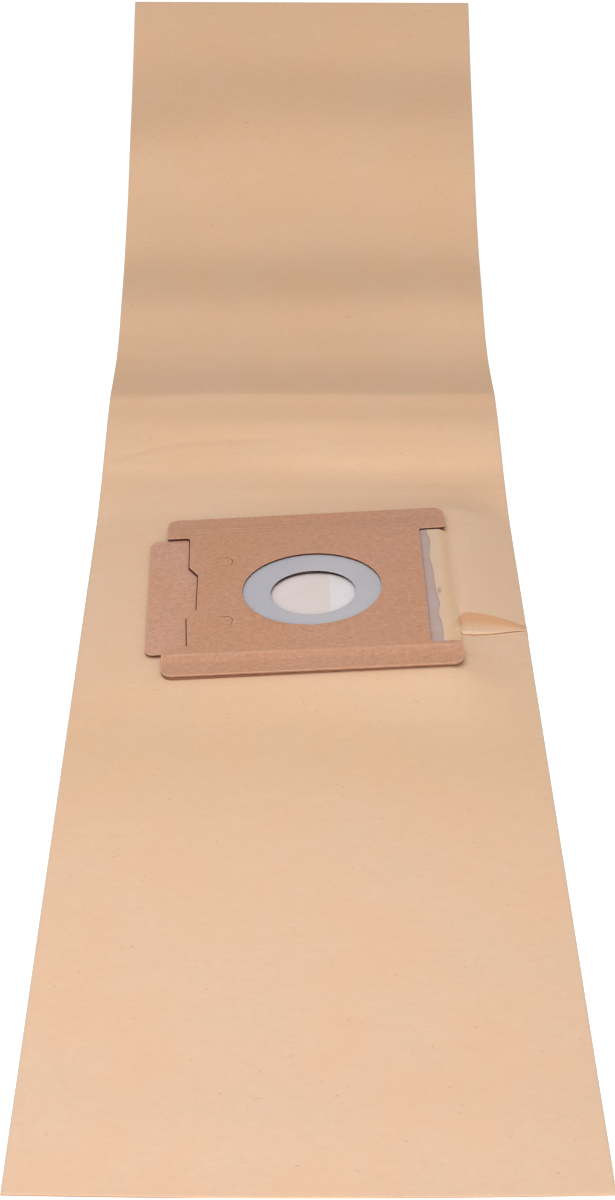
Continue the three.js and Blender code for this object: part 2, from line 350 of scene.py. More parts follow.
LIP_S = curve([(50, 270.5), (57, 272.4), (60, 273.6), (64.5, 276.3), (74, 282.3), (79, 285.0), (82.5, 286.7)])
CREST_S = curve([(50, 285.0), (58, 286.0), (64, 287.6), (69, 288.4), (73, 287.8), (78, 289.0), (82.5, 290.4)])


def outer_rows():
    rows = []
    for s in (26.0, 25.4, 22, 17, 12, 7, 3, 1.2):
        rows.append(("under_near", s))
    for a in (-90, -125, -160, -200, -235, -270):
        rows.append(("nose_near", a))
    main = list(np.concatenate([np.linspace(1.2, 30, 12), np.linspace(33, 222, 60)]))
    main += list(np.linspace(224, 256, 17))
    rows += [("main", s) for s in main]
    rows += [("tuck", k) for k in range(30)]
    main = list(np.linspace(304, 392, 36))
    main += list(np.linspace(394, 440, 27))
    main += list(np.linspace(441.3, 455, 11)) + list(np.linspace(455.8, 465, 16)) + list(np.linspace(466.2, 500, 26))
    main += list(np.linspace(502.5, 672, 66))
    main += list(np.linspace(674, REACH - 1.2, 11))
    rows += [("main", s) for s in main]
    for a in (-270, -235, -200, -160, -125, -90):
        rows.append(("nose_far", a))
    for s in (1.2, 3, 7, 12, 17, 22, 25.4, 26.0):
        rows.append(("under_far", s))
    return rows


def lie_frame(s):
    """Point and normal (along, height) of the line that the bag lies on."""
    e = 0.4
    s = np.asarray(s, float)
    slope = (LIE(s + e) - LIE(s - e)) / (
        np.clip(s + e, 0, REACH) - np.clip(s - e, 0, REACH)
    )
    n = np.sqrt(1 + slope * slope)
    return LIE(s), -slope / n, 1 / n


def end_bow(x, s):
    """The near edge is a little longer in its middle."""
    return -1.15 * (1 - (x / HALF_WIDTH) ** 2) * np.exp(-s / 45.0)


TOP_X = np.unique(
    np.concatenate(
        [
            np.linspace(-1, -0.985, 3),
            np.linspace(-0.985, -0.72, 11),
            np.linspace(-0.72, 0.60, 39),
            np.linspace(0.60, 0.985, 26),
            np.linspace(0.985, 1, 3),
        ]
    )
)
SEAM_LEFT, SEAM_RIGHT = 4.0, 19.0
BOTTOM_X = np.unique(
    np.concatenate(
        [
            np.linspace(-1, -0.93, 3),
            np.linspace(-0.93, (SEAM_LEFT - 0.25) / HALF_WIDTH, 12),
            np.array([SEAM_LEFT + 0.05, SEAM_LEFT + 0.5, SEAM_RIGHT - 3, SEAM_RIGHT, SEAM_RIGHT + 0.3])
            / HALF_WIDTH,
            np.linspace((SEAM_RIGHT + 3) / HALF_WIDTH, 0.93, 8),
            np.linspace(0.93, 1, 3),
        ]
    )
)


def seam_drop(x):
    """The lengthwise seam on the back: the overlapping edge of the paper stands proud by a ply."""
    on = smooth(SEAM_LEFT - 0.2, SEAM_LEFT, x)
    fade = 1 - smooth(SEAM_LEFT + 4, SEAM_RIGHT + 22, x)
    return -0.15 * on * fade


def build_outer():
    rows = outer_rows()
    n_top, n_bottom = len(TOP_X), len(BOTTOM_X)
    n_round = 4  # points round a side fold, between the two walls
    ring = n_top + n_bottom + 2 * n_round
    grid = np.zeros((len(rows), ring, 3))

    main_s = np.array([r[1] for r in rows if r[0] == "main"], float)
    # relief, worked out once over the whole top wall
    x_top = TOP_X * HALF_WIDTH
    relief = {}
    mesh_s = main_s[:, None]
    calm = (
        smooth(0, 18, mesh_s)
        * smooth(0, 12, REACH - mesh_s)
        * (1 - 0.95 * smooth(-78, -66, x_top) * (1 - smooth(60, 70, x_top)) * smooth(236, 250, mesh_s) * (1 - smooth(364, 378, mesh_s)))
    )
    z = (crinkle(x_top[None, :], mesh_s) + profile_of(x_top[None, :], mesh_s)) * calm
    z *= 1 - 0.75 * smooth(0.90, 1.0, np.abs(TOP_X))[None, :]
    for k, s in enumerate(main_s):
        relief[float(s)] = z[k]

    tuck_x = x_top
    tucked = smooth(50.5, 55.5, tuck_x)

    def tuck_paths():
        out = np.zeros((30, n_top, 2))
        for c, x in enumerate(tuck_x):
            nodes = tuck_nodes(float(np.clip(x, 50, HALF_WIDTH)))
            path = []
            for (s0, z0, n), (s1, z1, _) in zip(nodes, nodes[1:]):
                for i in range(n):
                    t = i / n
                    path.append((float(s0 + (s1 - s0) * t), float(z0 + (z1 - z0) * t)))
            path.append((float(nodes[-1][0]), float(nodes[-1][1])))
            path = np.array(path)
            k = np.linspace(0, len(path) - 1, 30)
            i = np.arange(len(path))
            folded = np.stack([np.interp(k, i, path[:, 0]), np.interp(k, i, path[:, 1])], -1)
            plain_s = np.linspace(258, 302, 30)
            flat = BOTTOM + thickness(x, 300.0)
            plain = np.stack([plain_s, np.full(30, flat + rise_full(x))], -1)
            out[:, c] = plain + (folded - plain) * tucked[c]
        return out

    tuck = tuck_paths()

    # on the near side of the tuck, the right-hand margin lies lower; it gets there between these rows
    def near_share(x, s):
        share = LOWER_SHARE(np.maximum(x, 50))
        return 1 - (1 - share) * smooth(50.5, 55.5, x)

    for i, (kind, value) in enumerate(rows):
        if kind == "main":
            s = float(value)
            z0, ny, nz = (float(a) for a in lie_frame(s))
            base = float(base_lift(s))
            q_low_edge = base
            t = thickness(x_top, s)
            share = float(RISE_ALONG(s))
            lift = rise_full(x_top) * share
            if s < 280:
                lift = lift * near_share(x_top, s)
            swell = wave(x_top, s)
            q_top = base + t + lift + relief[s] + swell
            r = float(thickness(HALF_WIDTH, s)) / 2
            scale = (HALF_WIDTH - r) / HALF_WIDTH
            top = np.stack(
                [
                    x_top * scale,
                    np.full(n_top, s - HALF_REACH) + q_top * ny + end_bow(x_top, s),
                    z0 + q_top * nz,
                ],
                -1,
            )
            xb = BOTTOM_X * HALF_WIDTH
            seam = seam_drop(xb) * smooth(26.5, 27, s) * smooth(26.5, 27, REACH - s)
            q_bottom = base + seam + wave(xb, s)
            bottom = np.stack(
                [
                    xb * scale,
                    s - HALF_REACH + q_bottom * ny + end_bow(xb, s),
                    z0 + q_bottom * nz,
                ],
                -1,
            )
            centre_q = r
            for c in (0, -1):
                q_edge = base + 2 * r + float(swell[c])
                top[c, 1:] = (
                    s - HALF_REACH + q_edge * ny + float(end_bow(x_top[c], s)),
                    z0 + q_edge * nz,
                )
            place = lambda x, q, base=base, swell=swell: (
                x,
                s - HALF_REACH + (base + q + float(swell[0 if x < 0 else -1])) * ny + float(end_bow(x, s)),
                z0 + (base + q + float(swell[0 if x < 0 else -1])) * nz,
            )
        elif kind == "tuck":
            k = int(value)
            path = tuck[k]
            s_plain = 258 + 44 * k / 29
            base = float(base_lift(s_plain))
            q_edge = base + float(thickness(HALF_WIDTH, s_plain))
            r = (q_edge - base) / 2
            scale = (HALF_WIDTH - r) / HALF_WIDTH
            top = np.stack(
                [x_top * scale, path[:, 0] - HALF_REACH, path[:, 1]], -1
            )
            s_right = s_plain  # the back wall has no tuck
            xb = BOTTOM_X * HALF_WIDTH
            bottom = np.stack(
                [
                    xb * scale,
                    np.full(n_bottom, s_plain - HALF_REACH),
                    base + seam_drop(xb),
                ],
                -1,
            )
            centre_q = (q_edge + base) / 2
            top[0, 1:] = (s_plain - HALF_REACH, q_edge)
            place = lambda x, q: (x, s_plain - HALF_REACH, q)
        else:
            # the end is folded under, so the wall's outside turns to face down
            far = kind.endswith("far")
            s_edge = REACH if far else 0.0
            z0, ny, nz = (float(a) for a in lie_frame(s_edge))
            ty, tz = nz, -ny  # along the bag
            sign = -1.0 if far else 1.0
            if kind.startswith("nose"):
                a = math.radians(value)
                c_s, c_q = 0.34, END_LIFT - 0.016
                d_s, d_q = math.cos(a), math.sin(a)
                inner = (c_s + 0.016 * d_s, c_q + 0.016 * d_q)
                outer = (
                    c_s + (0.016 + NOSE_T) * d_s,
                    c_q + (0.016 + NOSE_T) * d_q,
                )
            else:
                inner = (value, END_LIFT - 0.032)
                outer = (value, END_LIFT - 0.032 - NOSE_T)

            def at(x, pair, s_edge=s_edge, sign=sign, z0=z0, ny=ny, nz=nz, ty=ty, tz=tz, far=far):
                along, q = pair
                d = sign * along
                bow = 0.0 if far else float(end_bow(x, along))
                return (
                    x,
                    s_edge - HALF_REACH + d * ty + q * ny + bow,
                    z0 + d * tz + q * nz,
                )

            r = NOSE_T / 2
            taper = 1.0
            if kind.startswith("under"):
                taper = 1 - 0.012 * smooth(1.2, 8, value) - 0.016 * smooth(21, 26, value)
            scale = (HALF_WIDTH - r) / HALF_WIDTH * taper
            top = np.array([at(x * scale, outer) for x in x_top])
            xb = BOTTOM_X * HALF_WIDTH
            bottom = np.array([at(x * scale, inner) for x in xb])
            centre_q = None
            mid = ((inner[0] + outer[0]) / 2, (inner[1] + outer[1]) / 2)
            half_out = ((outer[0] - inner[0]) / 2, (outer[1] - inner[1]) / 2)

        # the ring runs over the top from left to right, round the fold, back under, and round again
        ring_points = [top]
        for side in (1, -1):
            arc = []
            for j in range(n_round):
                a = math.pi * (j + 1) / (n_round + 1)
                if side == 1:
                    c, h = math.sin(a), math.cos(a)
                else:
                    c, h = math.sin(a), -math.cos(a)
                x = side * (HALF_WIDTH * scale + r * c)
                if centre_q is None:
                    pair = (mid[0] + half_out[0] * h, mid[1] + half_out[1] * h)
                    arc.append(at(x, pair))
                elif kind == "tuck" and side == 1:
                    # follow the top wall's last column, which the tuck has moved
                    end = top[-1]
                    low_end = bottom[-1]
                    m = (1 - h) / 2
                    arc.append(
                        (
                            x,
                            end[1] + (low_end[1] - end[1]) * m,
                            end[2] + (low_end[2] - end[2]) * m,
                        )
                    )
                else:
                    arc.append(place(x, centre_q + r * h))
            ring_points.append(np.array(arc))
            if side == 1:
                ring_points.append(bottom[::-1])
        grid[i] = np.concatenate(ring_points)

    count = len(rows)
    vertices = grid.reshape(-1, 3)
    faces = []
    for i in range(count - 1):
        a, b = i * ring, (i + 1) * ring
        for j in range(ring):
            k = (j + 1) % ring
            faces.append((a + j, a + k, b + k, b + j))
    faces.append(tuple(range(ring - 1, -1, -1)))
    faces.append(tuple((count - 1) * ring + j for j in range(ring)))

    # the inlet: faces of the upper wall inside the hole go, and its edge is rounded onto the circle
    centre = collar(INNER_HOLES_AT[0], INNER_HOLES_AT[1], 0)
    radius = 20.0
    is_top = (np.arange(len(vertices)) % ring) < n_top
    away = np.hypot(vertices[:, 0] - centre[0], vertices[:, 1] - centre[1])
    inside = is_top & (away < radius)
    kept = [f for f in faces if not all(inside[v] for v in f)] if inside.any() else faces
    used_inside = {v for f in kept for v in f if inside[v]}
    for v in used_inside:
        d = vertices[v, :2] - centre[:2]
        vertices[v, :2] = centre[:2] + d / max(np.linalg.norm(d), 1e-6) * radius
        vertices[v, 2] = float(collar_underside(vertices[v, 0])) - 0.06
    o = new_object("kraft_bag", vertices, kept)
    bm = bmesh.new()
    bm.from_mesh(o.data)
    loose = [v for v in bm.verts if not v.link_faces]
    bmesh.ops.delete(bm, geom=loose, context="VERTS")
    bmesh.ops.dissolve_degenerate(bm, dist=1e-7, edges=bm.edges)
    bmesh.ops.recalc_face_normals(bm, faces=bm.faces)
    for f in bm.faces:
        if len(f.verts) > 8:
            for e in f.edges:
                e.smooth = False
    bm.to_mesh(o.data)
    bm.free()
    solid = o.modifiers.new("ply", "SOLIDIFY")
    solid.thickness = 0.13 * MM
    solid.offset = -1
    solid.use_rim = True
    solid.use_quality_normals = False
    apply_modifiers(o)
    return o


# ---------------------------------------------------------------- tissue liner
def build_liner():
    centre = collar(INNER_HOLES_AT[0], INNER_HOLES_AT[1], 0)
    half = 81.3
    xs = np.unique(
        np.concatenate(
            [
                np.linspace(-half, -34, 10),
                np.linspace(-34, 9.35, 30),
                np.array([9.35, 9.5]),
                np.linspace(9.5, 40, 22),
                np.linspace(40, half, 16),
            ]
        )
    )
    ss = np.unique(
        np.concatenate(
            [
                np.linspace(20, 262, 38),
                np.linspace(262, 344, 56),
                np.linspace(344, 440, 30),
                np.linspace(440, 500, 26),
                np.linspace(500, 683, 46),
            ]
        )
    )
    X, S = np.meshgrid(xs, ss)
    edge = np.abs(X) / half
    z0, ny, nz = lie_frame(S)
    base = base_lift(S)
    t = thickness(X, S)
    lift = rise_full(X) * RISE_ALONG(S)
    margin = 0.80 - 0.62 * smooth(44, 56, X) * (1 - smooth(300, 318, S))
    q_top = base + 0.08 + 0.45 * t + lift * margin + wave(X, S)
    q_bottom = base + 0.15 + wave(X, S)
    # under the inlet the loose tissue stands up against the collar
    r = np.hypot(X - centre[0], S - HALF_REACH - centre[1])
    plane = collar_underside(X)
    w_of_r = curve(
        [(0, 0.62), (13, 0.55), (15.5, 0.40), (17.2, 0.02), (18.6, -0.55), (20, -1.0), (24, -1.5), (34, -2.9), (50, -4.4), (64, -5.3)]
    )(r)
    dome = np.maximum(plane + w_of_r - q_bottom, 0)
    dome *= 1 - smooth(46, 62, r)
    pleats = 0.05 * field(X, S, 5, 9, 1.0)
    q_bottom = q_bottom + dome * 1.0 + pleats * (1 - smooth(30, 60, r))
    # the tissue's own lengthwise seam
    q_bottom = q_bottom + 0.16 * smooth(9.35, 9.5, X) * (1 - smooth(14, 34, X))
    q_bottom = np.minimum(q_bottom, np.where(r < 19.2, 99, q_top - 0.12))
    top = np.stack([X, S - HALF_REACH + q_top * ny, z0 + q_top * nz], -1)
    bottom = np.stack([X, S - HALF_REACH + q_bottom * ny, z0 + q_bottom * nz], -1)
    rows, cols = X.shape
    vertices = np.concatenate([top.reshape(-1, 3), bottom.reshape(-1, 3)])
    n = rows * cols
    faces = []
    for i in range(rows - 1):
        for j in range(cols - 1):
            a = i * cols + j
            faces.append((a, a + 1, a + cols + 1, a + cols))
            faces.append((n + a, n + a + cols, n + a + cols + 1, n + a + 1))
        for j, flip in ((0, False), (cols - 1, True)):
            a = i * cols + j
            f = (a, a + cols, n + a + cols, n + a)
            faces.append(f[::-1] if flip else f)
    for i, flip in ((0, True), (rows - 1, False)):
        for j in range(cols - 1):
            a = i * cols + j
            f = (a, n + a, n + a + 1, a + 1)
            faces.append(f[::-1] if flip else f)
    radius = 20.6
    away = np.hypot(vertices[:, 0] - centre[0], vertices[:, 1] - centre[1])
    inside = (np.arange(len(vertices)) < n) & (away < radius)
    kept = [f for f in faces if not all(inside[v] for v in f)]
    used = {v for f in kept for v in f if inside[v]}
    for v in used:
        d = vertices[v, :2] - centre[:2]
        vertices[v, :2] = centre[:2] + d / max(np.linalg.norm(d), 1e-6) * radius
    o = new_object("tissue_liner", vertices, kept)
    bm = bmesh.new()
    bm.from_mesh(o.data)
    bmesh.ops.delete(bm, geom=[v for v in bm.verts if not v.link_faces], context="VERTS")
    bmesh.ops.recalc_face_normals(bm, faces=bm.faces)
    bm.to_mesh(o.data)
    bm.free()
    solid = o.modifiers.new("ply", "SOLIDIFY")
    solid.thickness = 0.06 * MM
    solid.offset = -1
    apply_modifiers(o)
    return o


# ---------------------------------------------------------------- boards
def rounded(points, step=0.35):
    """A closed outline through (u, v, radius) corners, as a dense list of points."""
    out = []
    n = len(points)
    for i in range(n):
        p = Vector(points[i][:2])
        r = points[i][2]
        a = Vector(points[i - 1][:2]) - p
        b = Vector(points[(i + 1) % n][:2]) - p
        half = a.angle(b) / 2
        back = min(r / math.tan(half), a.length * 0.49, b.length * 0.49)
        if r <= 0 or back < 1e-6 or half > math.pi / 2 - 0.01:
            out.append(tuple(p))
            continue
        r = back * math.tan(half)
        a, b = a.normalized(), b.normalized()
        centre = p + (a + b).normalized() * (r / math.sin(half))
        start, end = p + a * back - centre, p + b * back - centre
        sweep = start.angle_signed(end)
        steps = max(2, int(abs(sweep) * r / step) + 1)
        steps = min(max(steps, 3), 12)
        for k in range(steps + 1):
            t = -sweep * k / steps
            c, s = math.cos(t), math.sin(t)
            out.append(
                (
                    centre.x + start.x * c - start.y * s,
                    centre.y + start.x * s + start.y * c,
                )
            )
    clean = []
    for p in out:
        if not clean or math.dist(p, clean[-1]) > 0.02:
            clean.append(p)
    if math.dist(clean[0], clean[-1]) < 0.02:
        clean.pop()
    return clean


def circle(radius, centre, segments=120, wobble=0.0, seed=0):
    out = []
    for i in range(segments):
        a = 2 * math.pi * i / segments
        r = radius + wobble * noise.noise(
            Vector((math.cos(a) * 1.7, math.sin(a) * 1.7, seed + 0.5))
        )
        out.append((centre[0] + r * math.cos(a), centre[1] + r * math.sin(a)))
    return out


def area(poly):
    return 0.5 * sum(
        a[0] * b[1] - b[0] * a[1] for a, b in zip(poly, poly[1:] + poly[:1])
    )


def offset_left(poly, b):
    """Each point moved to the left of its outline by its own distance in b."""
    out = []
    n = len(poly)
    for i in range(n):
        p0, p1, p2 = (Vector(poly[(i + k) % n]) for k in (-1, 0, 1))
        d1, d2 = (p1 - p0).normalized(), (p2 - p1).normalized()
        n1, n2 = Vector((-d1.y, d1.x)), Vector((-d2.y, d2.x))
        k = 1 + n1.dot(n2)
        m = (n1 + n2) / max(k, 0.35)
        out.append((p1.x + m.x * b[i], p1.y + m.y * b[i]))
    return out


def board(name, outline, holes, bottom, top, bevel, lift=None, cuts_u=(), cuts_v=(), flare=None, dark=None):
    """A board in the collar's frame with rounded edges. Its faces' material index is 0 on the two flat sides, 1 on the rounded
    upper edge, 2 on the cut edge and 3 where dark(u, v, nu, nv) is true of it. lift(u, v) moves points along w. flare(u, v) is
    how far the cut edge leans in from its foot to its top."""
    polys = [list(outline)] + [list(h) for h in holes]
    for k, p in enumerate(polys):
        ccw = area(p) > 0
        if ccw != (k == 0):
            p.reverse()
    half = math.pi / 4
    rings = []  # inset, height, material below this ring
    rings.append((bevel, top, 1))
    rings.append((bevel * (1 - math.sin(half)), top - bevel * (1 - math.cos(half)), 1))
    rings.append((0.0, top - bevel, 2))
    rings.append((0.0, bottom + bevel * 0.7, 2))
    rings.append((bevel * 0.7, bottom, 0))
    vertices, faces, index = [], [], []
    starts = []
    for inset, w, _ in rings:
        starts.append(len(vertices))
        for p in polys:
            extra = [0.0] * len(p)
            if flare is not None and w > (bottom + top) / 2:
                extra = [flare(a, b) for a, b in p]
            q = offset_left(p, [inset + e for e in extra])
            vertices += [(a, b, w) for a, b in q]
    sizes = [len(p) for p in polys]
    total = sum(sizes)
    for r in range(len(rings) - 1):
        base = 0
        for size in sizes:
            for i in range(size):
                j = (i + 1) % size
                a, b = starts[r] + base + i, starts[r] + base + j
                c, d = starts[r + 1] + base + j, starts[r + 1] + base + i
                faces.append((a, d, c, b))
                kind = rings[r][2]
                if kind == 1 and base > 0:
                    kind = 0
                if dark is not None and kind == 2:
                    p, q = vertices[starts[2] + base + i], vertices[starts[2] + base + j]
                    du, dv = q[0] - p[0], q[1] - p[1]
                    reach = max(math.hypot(du, dv), 1e-9)
                    if dark((p[0] + q[0]) / 2, (p[1] + q[1]) / 2, dv / reach, -du / reach):
                        kind = 3
                index.append(kind)
            base += size
    for r in (0, len(rings) - 1):
        loops = []
        base = starts[r]
        for size in sizes:
            loops.append([Vector(vertices[base + i]) for i in range(size)])
            base += size
        for tri in tessellate_polygon(loops):
            t = [starts[r] + i for i in tri]
            if r:
                t.reverse()
            p = [Vector(vertices[i]) for i in t]
            if (p[1] - p[0]).cross(p[2] - p[0]).length < 1e-9:
                continue
            up = (p[1] - p[0]).cross(p[2] - p[0]).z > 0
            if up != (r == 0):
                t.reverse()
            faces.append(tuple(t))
            index.append(0)
    mesh = bpy.data.meshes.new(name)
    mesh.from_pydata(vertices, [], faces)
    mesh.polygons.foreach_set("material_index", index)
    bm = bmesh.new()
    bm.from_mesh(mesh)
    for axis, places in ((0, cuts_u), (1, cuts_v)):
        no = Vector((1, 0, 0)) if axis == 0 else Vector((0, 1, 0))
        for place in places:
            bmesh.ops.bisect_plane(
                bm,
                geom=bm.verts[:] + bm.edges[:] + bm.faces[:],
                dist=1e-4,
                plane_co=no * place,
                plane_no=no,
            )
    co = np.array([v.co for v in bm.verts], float)
    if lift is not None:
        co[:, 2] += lift(co[:, 0], co[:, 1])
    placed = collar(co[:, 0], co[:, 1], co[:, 2]) * MM
    for v, p in zip(bm.verts, placed):
        v.co = p
    for f in bm.faces:
        f.smooth = True
    for e in bm.edges:
        mats = {f.material_index for f in e.link_faces}
        if 0 in mats and len(mats) > 1:
            e.smooth = False
    bm.normal_update()
    bm.to_mesh(mesh)
    bm.free()
    mesh.update()
    o = bpy.data.objects.new(name, mesh)
    bpy.context.scene.collection.objects.link(o)
    return o


def crease_far(u):
    return 46.7 - 0.013 * (u + 55)


def crease_near(u):
    return -45.3 - 0.021 * (u + 55)


def step_up(u, v):
    """How far the cover's middle stands over its two glued flanges, 0 to 1."""
    far = 1 - smooth(-4.0, 5.2, v - crease_far(u))
    near = smooth(-3.6, 1.3, v - crease_near(u))
    return far * near


def tongue_outline(centre, reach=3.1, left=-35.8, right=-29.6, cut=0.25):
    points = [(left, centre - reach)]
    arc = lambda r, a0, a1: [
        (
            right - reach * 0.62 + r * 0.62 * math.cos(a0 + (a1 - a0) * i / 12),
            centre + r * math.sin(a0 + (a1 - a0) * i / 12),
        )
        for i in range(13)
    ]
    points += arc(reach, -math.pi / 2, math.pi / 2)
    points += [(left, centre + reach), (left, centre + reach - cut)]
    points += arc(reach - cut, math.pi / 2, -math.pi / 2)
    points += [(left, centre - reach + cut)]
    return points


TONGUES = (21.1, -22.2)


def build_cover():
    outline = rounded(
        [
            (-55.3, -56.5, 4.6),
            (53.1, -57.6, 4.4),
            (52.9, -44.4, 0.7),
            (41.9, -44.2, 0.7),
            (42.9, 39.0, 0.7),
            (53.0, 39.3, 1.2),
            (53.2, 56.9, 4.6),
            (-55.1, 57.0, 4.2),
            (-55.0, 40.8, 0.5),
            (-46.5, 40.8, 1.9),
            (-46.5, 17.9, 0.9),
            (-43.1, 11.9, 1.0),
            (-43.4, -13.2, 1.0),
            (-47.0, -18.6, 0.9),
            (-46.5, -38.2, 1.4),
            (-48.0, -40.8, 1.4),
            (-55.4, -41.2, 0.5),
        ]
    )
    holes = [circle(26.1, COVER_HOLE_AT, 132, 0.16, 3)]
    holes += [tongue_outline(c) for c in TONGUES]

    def lift(u, v):
        z = -1.0 * (1 - step_up(u, v))
        for c in TONGUES:
            inside = (
                smooth(-36.2, -35.6, u)
                * (1 - smooth(-29.75, -29.6, u))
                * (np.abs(v - c) < 2.95)
            )
            z = z - 0.13 * inside * np.clip((u + 35.8) / 5.5, 0, 1)
        z = z + 0.10 * np.sin(u / 23.0 + 0.6) * np.cos(v / 31.0)
        # a faint rise along the near score
        z = z + 0.03 * bump(v - crease_near(u), 1.15, 0.6)
        return z

    fine = list(np.arange(43.4, 50.4, 0.35))
    cuts_v = sorted(set(np.round(list(np.arange(-54, 55, 6.0)) + fine + [-f for f in fine], 3)))
    cuts_u = sorted(
        set(np.round(list(np.arange(-52, 52, 6.5)) + [-35.7, -34.5, -33, -31.5, -30.2], 3))
    )
    flare = lambda u, v: 0.42 * float(u < -40) * float(-41 < v < 40.6)
    # painted shadow: inner cut edges, except those facing the far end near the middle, take the near-black edge
    # material
    dark = lambda u, v, nu, nv: abs(v) < 54 and not (nv > 0.6 and abs(v) < 35)
    return board("cover_board", outline, holes, 2.2, 3.0, 0.15, lift, cuts_u, cuts_v, flare, dark)


def build_base():
    outline = rounded([(-55.0, -56.5, 4.2), (52.8, -56.6, 4.2), (52.9, 56.6, 4.2), (-54.9, 56.6, 4.2)])
    return board(
        "base_board",
        outline,
        [circle(20, INNER_HOLES_AT, 96)],
        0.0,
        0.8,
        0.12,
        None,
        np.arange(-50, 52, 10.0),
        np.arange(-50, 52, 10.0),
    )


def build_shutter():
    outline = rounded(
        [
            (-61.4, -41.4, 3.0),
            (51.2, -41.4, 1.5),
            (51.2, 41.3, 1.5),
            (-61.5, 41.4, 3.4),
        ]
    )
    lift = lambda u, v: -0.10 * smooth(-50, -61, u) * (v / 41.0) ** 2 + 0 * v
    return board(
        "shutter_board",
        outline,
        [circle(17, INNER_HOLES_AT, 108, 0.08, 9)],
        0.95,
        1.65,
        0.14,
        lift,
        np.arange(-58, 50, 6.0),
        np.arange(-36, 40, 6.0),
    )


def build_membrane():
    outline = rounded([(-41, -44, 1.5), (50.2, -44, 1.5), (50.2, 43.8, 1.5), (-41, 43.8, 1.5)])

    def lift(u, v):
        r = np.hypot(u - INNER_HOLES_AT[0], v - INNER_HOLES_AT[1])
        return 0.10 * bump(r, 21, 4.0) * (r < 26) * 0.6

    return board(
        "seal_sheet_piece",
        outline,
        [circle(16, INNER_HOLES_AT, 120, 0.10, 5)],
        1.8,
        2.05,
        0.06,
        lift,
        np.arange(-38, 50, 3.0),
        np.arange(-42, 43, 3.0),
    )


# ---------------------------------------------------------------- the paper's lap over the collar's right-hand margin
LAP_LEFT = curve(
    [
        (-40.2, 46.4),
        (-36, 46.7),
        (-31.1, 46.7),
        (-27.5, 46.5),
        (-23.7, 45.98),
        (-20.5, 46.3),
        (-16.7, 46.86),
        (-11, 46.5),
        (-5.5, 46.15),
        (0, 46.1),
        (5.85, 46.2),
        (11.5, 46.0),
        (17.6, 45.5),
        (23.5, 45.9),
        (29.1, 46.5),
        (31.5, 46.5),
        (34, 46.0),
        (38.6, 45.6),
    ]
)


def margin_height(x, s):
    """Height of the bag's upper wall right of the collar, with the tuck's face where s is between its lip and its crest."""
    x = float(np.clip(x, 50, HALF_WIDTH))
    nodes = tuck_nodes(x)
    if s < float(LIP_S(x)):
        return float(nodes[0][1])
    face = nodes[9:-1]
    along = np.array([float(n[0]) for n in face])
    up = np.array([float(n[1]) for n in face])
    return float(np.interp(s, along, up))


